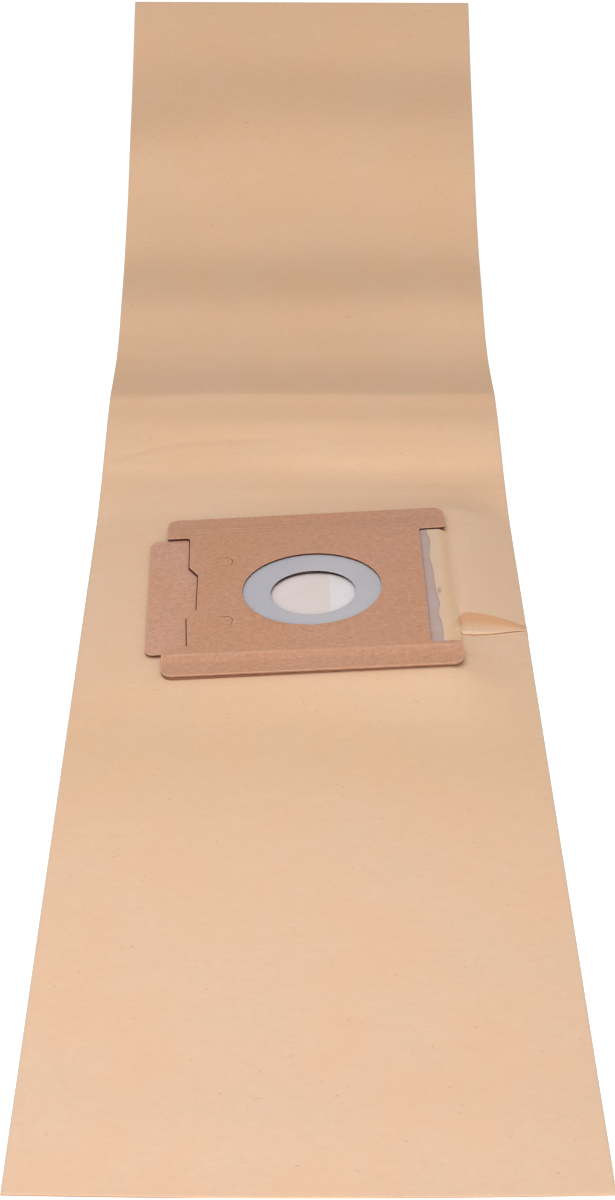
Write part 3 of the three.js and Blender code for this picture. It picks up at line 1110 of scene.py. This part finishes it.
def build_lap():
    section = [
        (46.3, 2.46),
        (47.4, 2.50),
        (48.6, 2.52),
        (49.6, 2.50),
        (50.5, 2.40),
        (51.3, 2.16),
        (52.0, 1.82),
        (52.7, 1.42),
        (53.4, 1.02),
        (54.2, 0.62),
        (55.0, 0.30),
        (56.0, 0.05),
        (57.0, -0.12),
        (58.8, -0.40),
    ]
    profile = curve(section)
    us = np.concatenate([np.linspace(0, 1, 12), np.linspace(1, 2, 26)[1:]])
    rows_far, rows_near = 58, 12
    vs = range(rows_far + rows_near)
    outer = np.zeros((len(vs), len(us), 3))
    inner = np.zeros_like(outer)

    def lip_v(u):
        x = float(collar(u, -35.0, 0.0)[0])
        along = float(LIP_S(x)) - HALF_REACH - COLLAR_AT[1]
        return (along - u * math.sin(YAW)) / math.cos(YAW)

    for i in vs:
        if i < rows_far:
            far_share = 1 - i / (rows_far - 1)
            v = -34.3 + (38.4 + 34.3) * far_share
        else:
            v = -34.4 + (-41.0 + 34.4) * (i - rows_far) / (rows_near - 1)
        left = float(LAP_LEFT(v))
        for j, k in enumerate(us):
            u = left + (50.5 - left) * k if k <= 1 else 50.5 + (58.8 - 50.5) * (k - 1)
            # the far rows end in a lip that stands over the start of the near rows, right of the board
            over_lip = 0.36 * float(smooth(51.8, 53.4, u))
            if i < rows_far:
                vv = lip_v(u) + 0.05 - over_lip + (38.4 - lip_v(u) - 0.05 + over_lip) * far_share
            else:
                near_end = -43.5 - 2.5 * float(smooth(50.8, 52.6, u)) + 0.3 * noise.noise(Vector((u * 0.35, 2.0, 0.0)))
                start = -0.05 + over_lip
                vv = lip_v(u) + start + (near_end - lip_v(u) - start) * (i - rows_far) / (rows_near - 1)
            w = float(profile(u))
            w += 0.05 * noise.noise(Vector((u * 0.22, vv * 0.12, 4.2)))
            w += 0.10 * float(bump(vv, 3.6, 1.6)) * float(bump(u, 47.8, 0.9))
            w -= 0.14 * float(bump(vv, 1.6, 2.0)) * float(bump(u, 48.9, 0.8))
            spot = collar(u, vv, 0.0)
            lip_s = float(LIP_S(np.clip(spot[0], 50, HALF_WIDTH)))
            along = spot[1] + HALF_REACH
            along = max(along, lip_s + 0.06) if i < rows_far else min(along, lip_s - 0.05)
            ground = margin_height(spot[0], along)
            over = (ground - spot[2]) / math.cos(ROLL)
            dive = 0.07 - 0.30 * float(smooth(57.4, 58.8, u))
            # near the tuck the paper goes over the board's edge straight into the face of the fold
            hug = float(smooth(52.7, 54.1, u)) * float(smooth(-15.0, -20.5, vv)) * float(i < rows_far)
            if i >= rows_far:
                hug = float(smooth(52.6, 53.8, u))
                hug = max(hug, float(smooth(52.4, 53.2, u)) * (1 - float(smooth(-45.8, -43.0, vv))))
            w = max(w * (1 - hug) + (over + dive) * hug, over + dive) if u > 52.2 else w
            outer[i, j] = collar(u, vv, w)
            inner[i, j] = collar(u + 0.02, vv, w - 0.16)
    rows, cols = len(vs), len(us)
    vertices = np.concatenate([outer.reshape(-1, 3), inner.reshape(-1, 3)])
    n = rows * cols
    faces = []
    for i in range(rows - 1):
        for j in range(cols - 1):
            a = i * cols + j
            faces.append((a, a + 1, a + cols + 1, a + cols))
            faces.append((n + a, n + a + cols, n + a + cols + 1, n + a + 1))
    rim = [(0, j) for j in range(cols)] + [(i, cols - 1) for i in range(1, rows)]
    rim += [(rows - 1, j) for j in range(cols - 2, -1, -1)] + [(i, 0) for i in range(rows - 2, 0, -1)]
    for a, b in zip(rim, rim[1:] + rim[:1]):
        p, q = a[0] * cols + a[1], b[0] * cols + b[1]
        faces.append((p, n + p, n + q, q))
    o = new_object("paper_lap", vertices, faces)
    bm = bmesh.new()
    bm.from_mesh(o.data)
    bmesh.ops.recalc_face_normals(bm, faces=bm.faces)
    for e in bm.edges:
        if len(e.link_faces) == 2 and e.calc_face_angle() > math.radians(50):
            e.smooth = False
    bm.to_mesh(o.data)
    bm.free()
    return o


# ---------------------------------------------------------------- materials
class Nodes:
    """Builds a node material step by step."""

    def __init__(self, name):
        self.material = bpy.data.materials.new(name)
        self.material.use_nodes = True
        self.tree = self.material.node_tree
        self.tree.nodes.clear()
        self.out = self.tree.nodes.new("ShaderNodeOutputMaterial")
        self.shader = self.tree.nodes.new("ShaderNodeBsdfPrincipled")
        self.link(self.shader.outputs[0], self.out.inputs[0])
        self.coords = self.tree.nodes.new("ShaderNodeTexCoord").outputs["Object"]

    def link(self, a, b):
        self.tree.links.new(a, b)

    def node(self, kind, **settings):
        n = self.tree.nodes.new(kind)
        for k, v in settings.items():
            setattr(n, k, v)
        return n

    def put(self, socket, value):
        if hasattr(value, "links") or isinstance(value, bpy.types.NodeSocket):
            self.link(value, socket)
        else:
            socket.default_value = value

    def scaled(self, x, y, z, turn=0.0):
        n = self.node("ShaderNodeMapping")
        self.link(self.coords, n.inputs["Vector"])
        n.inputs["Scale"].default_value = (x, y, z)
        n.inputs["Rotation"].default_value = (0, 0, turn)
        return n.outputs[0]

    def turned(self, along, across, turn, bend=0.0):
        """Coordinates stretched along a direction turned from X, so that round cells become short fibres."""
        source = self.coords
        if bend:
            n = self.node("ShaderNodeTexNoise")
            self.link(self.coords, n.inputs["Vector"])
            n.inputs["Scale"].default_value = 140
            n.inputs["Detail"].default_value = 1
            centred = self.node("ShaderNodeVectorMath", operation="SUBTRACT")
            self.link(n.outputs["Color"], centred.inputs[0])
            centred.inputs[1].default_value = (0.5, 0.5, 0.5)
            small = self.node("ShaderNodeVectorMath", operation="SCALE")
            self.link(centred.outputs[0], small.inputs[0])
            small.inputs["Scale"].default_value = bend
            moved = self.node("ShaderNodeVectorMath", operation="ADD")
            self.link(self.coords, moved.inputs[0])
            self.link(small.outputs[0], moved.inputs[1])
            source = moved.outputs[0]
        n = self.node("ShaderNodeMapping", vector_type="TEXTURE")
        self.link(source, n.inputs["Vector"])
        n.inputs["Scale"].default_value = (along, across, 1.0)
        n.inputs["Rotation"].default_value = (0, 0, turn)
        return n.outputs[0]

    def noise(self, scale, detail=3.0, rough=0.5, vector=None, distortion=0.0):
        n = self.node("ShaderNodeTexNoise")
        self.link(vector or self.coords, n.inputs["Vector"])
        n.inputs["Scale"].default_value = scale
        n.inputs["Detail"].default_value = detail
        n.inputs["Roughness"].default_value = rough
        n.inputs["Distortion"].default_value = distortion
        return n.outputs["Fac"]

    def cells(self, scale, vector=None, randomness=1.0):
        n = self.node("ShaderNodeTexVoronoi", voronoi_dimensions="2D")
        self.link(vector or self.coords, n.inputs["Vector"])
        n.inputs["Scale"].default_value = scale
        n.inputs["Randomness"].default_value = randomness
        return n.outputs["Distance"], n.outputs["Color"]

    def span(self, value, low, high, to_low=0.0, to_high=1.0, kind="SMOOTHSTEP"):
        n = self.node("ShaderNodeMapRange", interpolation_type=kind)
        self.put(n.inputs["Value"], value)
        n.inputs["From Min"].default_value = low
        n.inputs["From Max"].default_value = high
        n.inputs["To Min"].default_value = to_low
        n.inputs["To Max"].default_value = to_high
        return n.outputs[0]

    def math(self, op, a, b=0.0, c=0.0):
        n = self.node("ShaderNodeMath", operation=op)
        self.put(n.inputs[0], a)
        self.put(n.inputs[1], b)
        self.put(n.inputs[2], c)
        return n.outputs[0]

    def mix(self, fac, a, b, kind="MIX"):
        n = self.node("ShaderNodeMix", data_type="RGBA", blend_type=kind)
        self.put(n.inputs[0], fac)
        self.put(n.inputs[6], a)
        self.put(n.inputs[7], b)
        return n.outputs[2]

    def axis(self, which):
        n = self.node("ShaderNodeSeparateXYZ")
        self.link(self.coords, n.inputs[0])
        return n.outputs[which]

    def near(self, centre, size, low=0.4, high=1.0):
        """1 inside an ellipsoid round centre, falling to 0 outside it. Both are in metres."""
        m = self.node("ShaderNodeMapping")
        self.link(self.coords, m.inputs["Vector"])
        m.inputs["Scale"].default_value = tuple(1.0 / s for s in size)
        m.inputs["Location"].default_value = tuple(-c / s for c, s in zip(centre, size))
        n = self.node("ShaderNodeVectorMath", operation="LENGTH")
        self.link(m.outputs[0], n.inputs[0])
        return self.span(n.outputs["Value"], low, high, 1.0, 0.0)

    def relief(self, height, distance, strength=1.0, under=None):
        n = self.node("ShaderNodeBump")
        self.put(n.inputs["Height"], height)
        n.inputs["Distance"].default_value = distance
        n.inputs["Strength"].default_value = strength
        if under is not None:
            self.link(under, n.inputs["Normal"])
        return n.outputs[0]

    def finish(self, color, roughness, normal=None, specular=0.3, sheen=0.0):
        self.put(self.shader.inputs["Base Color"], color)
        self.put(self.shader.inputs["Roughness"], roughness)
        self.shader.inputs["Specular IOR Level"].default_value = specular
        self.shader.inputs["Sheen Weight"].default_value = sheen
        self.shader.inputs["Sheen Roughness"].default_value = 0.6
        if normal is not None:
            self.link(normal, self.shader.inputs["Normal"])
        return self.material


def srgb(r, g, b, gain=1.0):
    f = lambda c: (c / 12.92 if c <= 0.04045 else ((c + 0.055) / 1.055) ** 2.4) * gain
    return (f(r / 255), f(g / 255), f(b / 255), 1.0)


def fibre_flecks(m, scale, long, thin, chance, turn, low=0.010, high=0.020, bend=0.0):
    """A mask of sparse short fibres: long and thin cells of which only a few are kept."""
    d, c = m.cells(scale, m.turned(long, thin, turn, bend))
    seen = m.span(d, low, high, 1.0, 0.0)
    n = m.node("ShaderNodeSeparateColor")
    m.link(c, n.inputs[0])
    keep = m.math("GREATER_THAN", n.outputs[0], 1 - chance)
    return m.math("MULTIPLY", seen, keep)


def kraft(name, lap=False):
    m = Nodes(name)
    base = srgb(226, 189, 157)
    warm = srgb(228, 187, 152)
    pale = srgb(228, 193, 164)
    clouds = m.noise(26, 3, 0.55, m.scaled(1.0, 0.8, 1.0))
    color = m.mix(m.span(clouds, 0.30, 0.70), warm, base)
    clouds2 = m.noise(60, 3, 0.6, m.scaled(0.8, 1.3, 1.0))
    color = m.mix(m.span(clouds2, 0.5, 0.78, 0.0, 0.4), color, pale)
    # felt marks: fine mottling that runs across the bag
    felt = m.noise(430, 4, 0.66, m.scaled(0.72, 1.25, 1.0))
    color = m.mix(m.span(felt, 0.25, 0.75, 0.0, 1.0), color, srgb(255, 255, 255), "MULTIPLY")
    shade = m.span(felt, 0.25, 0.75, 0.965, 1.03, "LINEAR")
    grain = m.span(m.noise(1500, 3, 0.6), 0.25, 0.75, 0.975, 1.02, "LINEAR")
    tone = m.math("MULTIPLY", shade, grain)
    # painted shade: broad darker bands across the lifted half, and near its foot one paler band of painted light,
    # standing in for how light falls on its slopes
    wander = m.span(m.noise(9, 2, 0.5), 0.3, 0.7, -0.006, 0.006, "LINEAR")
    along = m.math("ADD", m.axis(1), wander)
    for place, width, depth in (
        (0.0270, 0.0120, 0.042),
        (0.1240, 0.0170, -0.050),
        (0.2030, 0.0210, -0.115),
        (0.3060, 0.0240, -0.120),
        (0.3600, 0.0250, -0.050),
    ):
        q = m.math("DIVIDE", m.math("SUBTRACT", along, place), width)
        g = m.math("POWER", 2.718, m.math("MULTIPLY", m.math("MULTIPLY", q, q), -1.0))
        tone = m.math("MULTIPLY", tone, m.math("MULTIPLY_ADD", g, depth, 1.0))
    # painted light: a paler band along the foot of the rise, stronger on the right
    q = m.math("DIVIDE", m.math("SUBTRACT", along, 0.0640), 0.0150)
    g = m.math("POWER", 2.718, m.math("MULTIPLY", m.math("MULTIPLY", q, q), -1.0))
    g = m.math("MULTIPLY", g, m.span(m.axis(0), -0.040, 0.012, 0.040, 0.112))
    tone = m.math("MULTIPLY", tone, m.math("ADD", g, 1.0))
    # the crest is a sharp fold: painted shade darkens the paper beyond it at once and pales slowly, and painted light
    # brightens a narrow band just before it
    small = m.span(m.noise(16, 2, 0.5), 0.3, 0.7, -0.0010, 0.0010, "LINEAR")
    beyond = m.math("ADD", m.axis(1), small)
    beyond = m.math("ADD", beyond, m.span(m.axis(0), -0.078, -0.030, 0.0040, 0.0))
    beyond = m.math("SUBTRACT", beyond, m.span(m.axis(0), 0.040, 0.075, 0.0, 0.0020))
    g = m.math("MULTIPLY", m.span(beyond, 0.1062, 0.1098), m.span(beyond, 0.1098, 0.1420, 1.0, 0.0))
    tone = m.math("MULTIPLY", tone, m.math("MULTIPLY_ADD", g, -0.036, 1.0))
    g = m.math("MULTIPLY", m.span(beyond, 0.0930, 0.1060), m.span(beyond, 0.1066, 0.1090, 1.0, 0.0))
    tone = m.math("MULTIPLY", tone, m.math("MULTIPLY_ADD", g, 0.026, 1.0))
    # the right-hand side of the lifted half catches a little more light
    q = m.math("DIVIDE", m.math("SUBTRACT", along, 0.1750), 0.0300)
    g = m.math("POWER", 2.718, m.math("MULTIPLY", m.math("MULTIPLY", q, q), -1.0))
    g = m.math("MULTIPLY", g, m.span(m.axis(0), 0.020, 0.065, 0.0, 0.040))
    tone = m.math("MULTIPLY", tone, m.math("ADD", g, 1.0))
    n = m.node("ShaderNodeVectorMath", operation="SCALE")
    m.link(color, n.inputs[0])
    m.put(n.inputs["Scale"], tone)
    # painted light: the lifted half is tinted warmer and the near part cooler, for the colour of the light falling on
    # each
    color = m.mix(m.span(m.axis(1), -0.02, 0.09), n.outputs[0], (1.025, 0.995, 0.945, 1), "MULTIPLY")
    color = m.mix(m.span(m.axis(1), -0.34, -0.20, 1.0, 0.0), color, (0.985, 0.995, 1.02, 1), "MULTIPLY")
    # painted shade: a slightly darker, warmer band across the bag in front of the collar, where the paper slopes down
    # from it
    q = m.math("DIVIDE", m.math("ADD", m.axis(1), 0.140), 0.038)
    g = m.math("POWER", 2.718, m.math("MULTIPLY", m.math("MULTIPLY", q, q), -1.0))
    color = m.mix(g, color, (0.970, 0.955, 0.900, 1), "MULTIPLY")
    # painted shade: the tuck's face under its crest is darker and more orange
    x, y = m.axis(0), m.axis(1)
    lip = m.math("MULTIPLY_ADD", x, 0.561, -0.11108)
    crest = m.math("MULTIPLY_ADD", x, 0.160, -0.07468)
    crest = m.math("MINIMUM", crest, m.math("MULTIPLY_ADD", x, 3.0, -0.2395))
    reach = m.math("MAXIMUM", m.math("SUBTRACT", crest, lip), 0.0004)
    share = m.math("DIVIDE", m.math("SUBTRACT", y, lip), reach)
    face = m.math("MULTIPLY", m.span(share, 0.04, 0.75), m.span(share, 0.97, 1.04, 1.0, 0.0))
    face = m.math("MULTIPLY", face, m.span(x, 0.0538, 0.0580, 0.35, 1.0))
    face = m.math("MULTIPLY", face, m.span(x, 0.0536, 0.0548))
    color = m.mix(m.math("MULTIPLY", face, 0.9), color, srgb(212, 156, 112))
    # painted highlight: a pale line along the tuck's lip
    nose = m.math("MULTIPLY", m.span(share, -0.08, -0.02), m.span(share, 0.03, 0.14, 1.0, 0.0))
    nose = m.math("MULTIPLY", nose, m.span(x, 0.0540, 0.0560))
    color = m.mix(m.math("MULTIPLY", nose, 0.6), color, srgb(252, 216, 178))
    # darker and paler fibres
    dark = fibre_flecks(m, 62, 1.5, 0.6, 0.13, 0.7, 0.008, 0.044)
    dark2 = fibre_flecks(m, 95, 2.2, 0.6, 0.10, -0.9, 0.008, 0.044)
    light = fibre_flecks(m, 150, 1.8, 0.6, 0.20, 0.1, 0.010, 0.06)
    hair = fibre_flecks(m, 20, 0.9, 0.085, 0.020, 0.40, 0.018, 0.042, 0.0022)
    hair2 = fibre_flecks(m, 21, 0.8, 0.085, 0.018, -0.85, 0.018, 0.040, 0.0022)
    hair3 = fibre_flecks(m, 33, 0.8, 0.12, 0.030, 1.25, 0.012, 0.040, 0.0016)
    hair2 = m.math("MAXIMUM", hair2, hair3)
    color = m.mix(m.math("MULTIPLY", dark, 0.30), color, srgb(168, 112, 74))
    color = m.mix(m.math("MULTIPLY", dark2, 0.34), color, srgb(152, 108, 76))
    color = m.mix(m.math("MULTIPLY", light, 0.30), color, srgb(246, 220, 190))
    color = m.mix(m.math("MULTIPLY", m.math("MAXIMUM", hair, hair2), 0.45), color, srgb(158, 104, 66))
    # the side folds are tinted greyer
    side_fold_grey = m.span(m.math("ABSOLUTE", m.axis(0)), 0.0812, 0.0823)
    color = m.mix(m.math("MULTIPLY", side_fold_grey, 0.55), color, srgb(206, 188, 168))
    # painted shadow: a dark brown line along the foot of the near end's fold, strongest on the left
    low = m.math("MULTIPLY", m.span(m.axis(2), 0.00034, 0.00062, 1.0, 0.0), m.span(m.axis(1), -0.3512, -0.3502, 1.0, 0.0))
    shown = m.math("ADD", m.span(m.axis(0), -0.045, -0.022, 1.0, 0.15), m.span(m.axis(0), 0.005, 0.030, 0.0, 0.5))
    color = m.mix(m.math("MULTIPLY", m.math("MULTIPLY", low, shown), 0.9), color, srgb(150, 104, 70))
    if lap:
        # glue has soaked the lap: greyer over the board, ochre where it bends down
        x = m.axis(0)
        grey = m.span(x, 0.0500, 0.0525, 1.0, 0.0)
        ochre = m.math(
            "MULTIPLY", m.span(x, 0.0500, 0.0532), m.span(x, 0.0546, 0.0566, 1.0, 0.0)
        )
        color = m.mix(m.math("MULTIPLY", grey, 0.75), color, srgb(212, 184, 158))
        color = m.mix(m.math("MULTIPLY", ochre, 0.45), color, srgb(212, 174, 128))
        blotch = m.near((0.0502, -0.0528, 0.0105), (0.0011, 0.0034, 0.006), 0.30, 1.0)
        color = m.mix(m.math("MULTIPLY", blotch, 0.55), color, srgb(158, 126, 98))
    rough = m.span(m.noise(300, 3, 0.6), 0.3, 0.7, 0.74, 0.88, "LINEAR")
    fine = m.noise(1100, 4, 0.65, m.scaled(0.6, 1.2, 1.0))
    normal = m.relief(fine, 0.00006, 0.8)
    normal = m.relief(felt, 0.00010, 0.5, normal)
    return m.finish(color, rough, normal, 0.25, 0.06)


def card(name, tone, dark_tone, warm_tone, creases=()):
    m = Nodes(name)
    clouds = m.noise(45, 4, 0.55, m.scaled(1.0, 0.7, 1.0))
    color = m.mix(m.span(clouds, 0.34, 0.66), srgb(*warm_tone), srgb(*tone))
    clouds2 = m.noise(120, 3, 0.6)
    color = m.mix(m.span(clouds2, 0.5, 0.8, 0.0, 0.55), color, srgb(*dark_tone))
    pulp = m.noise(680, 5, 0.68, m.scaled(0.9, 1.0, 1.0))
    tone_v = m.span(pulp, 0.25, 0.75, 0.81, 1.17, "LINEAR")
    n = m.node("ShaderNodeVectorMath", operation="SCALE")
    m.link(color, n.inputs[0])
    m.put(n.inputs["Scale"], tone_v)
    color = n.outputs[0]
    dark = fibre_flecks(m, 210, 1.5, 0.8, 0.34, 0.4, 0.02, 0.11)
    dark2 = fibre_flecks(m, 130, 1.9, 0.6, 0.24, -0.8, 0.01, 0.07)
    light = fibre_flecks(m, 240, 1.6, 0.7, 0.34, 1.2, 0.02, 0.11)
    color = m.mix(m.math("MULTIPLY", dark, 0.40), color, srgb(146, 94, 68))
    color = m.mix(m.math("MULTIPLY", dark2, 0.45), color, srgb(130, 82, 58))
    color = m.mix(m.math("MULTIPLY", light, 0.38), color, srgb(226, 182, 150))
    # painted highlight: pale lines along the board's scores, where it bends, broken up by noise
    if creases:
        x, y = m.axis(0), m.axis(1)
        crease_highlight_breakup = m.span(m.noise(95, 3, 0.6), 0.38, 0.62, 0.5, 1.0)
        for rise, start, half, strength, fade in creases:
            line = m.math("SUBTRACT", y, m.math("MULTIPLY_ADD", x, rise, start))
            q = m.math("DIVIDE", line, half)
            g = m.math("POWER", 2.718, m.math("MULTIPLY", m.math("MULTIPLY", q, q), -1.0))
            g = m.math("MULTIPLY", m.math("MULTIPLY", g, strength), crease_highlight_breakup)
            if fade:
                g = m.math("MULTIPLY", g, m.span(x, -0.030, 0.020, 1.0, 1.0 - fade))
            color = m.mix(g, color, srgb(228, 182, 152))
    rough = m.span(m.noise(500, 3, 0.6), 0.3, 0.7, 0.72, 0.88, "LINEAR")
    normal = m.relief(pulp, 0.00008, 0.7)
    soft = m.noise(70, 2, 0.5)
    normal = m.relief(soft, 0.0004, 0.35, normal)
    return m.finish(color, rough, normal, 0.3, 0.04)


def cut_edge(name, tone, line_tone, high):
    """A board's cut edge: layers of pulp along it, or the paler top of the cut, partly pale cut fibre and partly a
    painted highlight.
    """
    m = Nodes(name)
    layers = m.noise(2600, 3, 0.6, m.scaled(0.12, 0.12, 1.0))
    color = m.mix(m.span(layers, 0.35, 0.65), srgb(*tone), srgb(*line_tone))
    blot = m.noise(240, 3, 0.6)
    color = m.mix(m.span(blot, 0.45, 0.75, 0.0, 0.35), color, srgb(*high))
    normal = m.relief(m.noise(2200, 4, 0.7), 0.00008, 0.8)
    return m.finish(color, 0.85, normal, 0.2, 0.0)


def sheet_material(name):
    m = Nodes(name)
    clouds = m.noise(38, 3, 0.5)
    color = m.mix(m.span(clouds, 0.35, 0.65), srgb(184, 181, 187), srgb(190, 186, 188))
    fine = m.noise(650, 3, 0.6)
    n = m.node("ShaderNodeVectorMath", operation="SCALE")
    m.link(color, n.inputs[0])
    m.put(n.inputs["Scale"], m.span(fine, 0.25, 0.75, 0.975, 1.02, "LINEAR"))
    color = n.outputs[0]
    # the margin in the right-hand notch is darker and browner: partly the brown board seen through the sheet, partly
    # painted shade from the notch's depth
    x = m.axis(0)
    notch_shade_mask = m.span(x, 0.0395, 0.0445)
    notch_shade_and_board_tint = m.mix(m.span(m.noise(130, 3, 0.6), 0.35, 0.68), srgb(190, 164, 158), srgb(188, 158, 140))
    color = m.mix(m.math("MULTIPLY", notch_shade_mask, 0.94), color, notch_shade_and_board_tint)
    rough = m.span(m.noise(90, 2, 0.5), 0.3, 0.7, 0.42, 0.56, "LINEAR")
    rough = m.math("MAXIMUM", rough, m.span(x, 0.0395, 0.0445, 0.0, 0.78))
    normal = m.relief(fine, 0.00002, 0.6)
    return m.finish(color, rough, normal, 0.35, 0.0)


def tissue_material(name):
    m = Nodes(name)
    x = m.axis(0)
    seam = m.span(x, 0.00925, 0.00965)
    color = m.mix(seam, srgb(226, 212, 207), srgb(230, 222, 223))
    clouds = m.noise(70, 3, 0.55)
    color = m.mix(m.span(clouds, 0.4, 0.8, 0.0, 0.5), color, srgb(220, 205, 198))
    fibres = m.noise(900, 5, 0.7, m.scaled(0.8, 1.2, 1.0))
    n = m.node("ShaderNodeVectorMath", operation="SCALE")
    m.link(color, n.inputs[0])
    m.put(n.inputs["Scale"], m.span(fibres, 0.25, 0.75, 0.965, 1.02, "LINEAR"))
    normal = m.relief(fibres, 0.00008, 0.6)
    return m.finish(n.outputs[0], 0.9, normal, 0.15, 0.05)


kraft_paper = kraft("kraft_paper")
lap_paper = kraft("lap_paper", lap=True)
cover_card = card(
    "cover_card",
    (196, 145, 116),
    (190, 138, 108),
    (197, 143, 110),
    # the cover's creases: painted highlights along the flanges' scores
    (
        (0.0080, 0.0009, 0.00040, 0.60, 0.6),
        (0.0080, -0.0016, 0.00036, 0.52, 0.7),
        (0.0000, -0.0915, 0.00075, 0.32, 0.0),
    ),
)
shutter_card = card("shutter_card", (203, 153, 128), (196, 146, 120), (202, 150, 120))
base_card = card("base_card", (188, 138, 110), (178, 128, 100), (190, 138, 106))
# partly painted highlight: the pale material on the boards' rounded top edges
burr_and_highlight = cut_edge("burr_and_highlight", (216, 174, 148), (206, 162, 134), (224, 184, 158))
edge_brown = cut_edge("edge_brown", (195, 149, 121), (178, 132, 106), (207, 163, 135))
edge_base = cut_edge("edge_base", (156, 114, 92), (134, 96, 76), (172, 130, 106))
# painted shadow: the near-black cut-edge material, for the shade on the cover's inner cut edges and on the shutter's
# edges
edge_painted_shadow = cut_edge("edge_painted_shadow", (92, 56, 42), (74, 44, 34), (112, 72, 54))
seal_sheet = sheet_material("seal_sheet_finish")
tissue = tissue_material("filter_tissue")


def give(o, *materials):
    for m in materials:
        o.data.materials.append(m)


# ---------------------------------------------------------------- pieces
bag = build_outer()
give(bag, kraft_paper)
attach(bag, "bag")
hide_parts("outer_paper_bag")

lap = build_lap()
give(lap, lap_paper)
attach(lap, "bag")

liner = build_liner()
give(liner, tissue)
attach(liner, "bag")
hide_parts("inner_filter_liner")

base = build_base()
give(base, base_card, edge_base, edge_base)
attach(base, "bag")
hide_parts("collar_base_plate")

shutter = build_shutter()
# the shutter's cut edges take the near-black painted-shadow material
give(shutter, shutter_card, burr_and_highlight, edge_painted_shadow)
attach(shutter, "shutter")
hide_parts("closing_shutter")

membrane = build_membrane()
give(membrane, seal_sheet, seal_sheet, seal_sheet)
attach(membrane, "bag")
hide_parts("sealing_membrane")

cover = build_cover()
give(cover, cover_card, burr_and_highlight, edge_brown, edge_painted_shadow)
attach(cover, "bag")
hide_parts("collar_cover_plate")


# ---------------------------------------------------------------- floor and light
def build_stage():
    mesh = bpy.data.meshes.new("floor")
    r = 7.0
    mesh.from_pydata(
        [(-r, -r, 0), (r, -r, 0), (r, r, 0), (-r, r, 0)], [], [(0, 1, 2, 3)]
    )
    o = bpy.data.objects.new("floor", mesh)
    bpy.context.scene.collection.objects.link(o)
    m = Nodes("floor_white")
    mottle = m.noise(3, 2, 0.5)
    m.finish(m.mix(mottle, (0.90, 0.90, 0.90, 1), (0.92, 0.92, 0.92, 1)), 0.9, None, 0.1)
    m.shader.inputs["Emission Color"].default_value = (1, 1, 1, 1)
    m.shader.inputs["Emission Strength"].default_value = 0.58
    o.data.materials.append(m.material)
    return o


build_stage()


def soft_light(name, place, target, size, watts, color=(1, 1, 1)):
    data = bpy.data.lights.new(name, "AREA")
    data.shape = "RECTANGLE"
    data.size, data.size_y = size
    data.energy = watts
    data.color = color
    o = bpy.data.objects.new(name, data)
    o.location = place
    d = Vector(target) - Vector(place)
    o.rotation_mode = "QUATERNION"
    o.rotation_quaternion = d.to_track_quat("-Z", "Y")
    bpy.context.scene.collection.objects.link(o)
    return o


soft_light("front", (-0.20, -1.20, 0.40), (0.0, -0.05, 0.02), (0.9, 0.40), 4.5)
soft_light("top", (-0.08, -0.32, 0.62), (0.0, -0.20, 0.0), (0.55, 0.6), 2.5, (0.98, 1.0, 1.04))

world = bpy.data.worlds.new("studio")
bpy.context.scene.world = world
world.use_nodes = True
world.node_tree.nodes["Background"].inputs[0].default_value = (1.0, 1.0, 1.0, 1)
world.node_tree.nodes["Background"].inputs[1].default_value = 0.45

view = bpy.context.scene.view_settings
view.view_transform = "Standard"
view.look = "None"
view.exposure = 0.0
view.gamma = 1.0
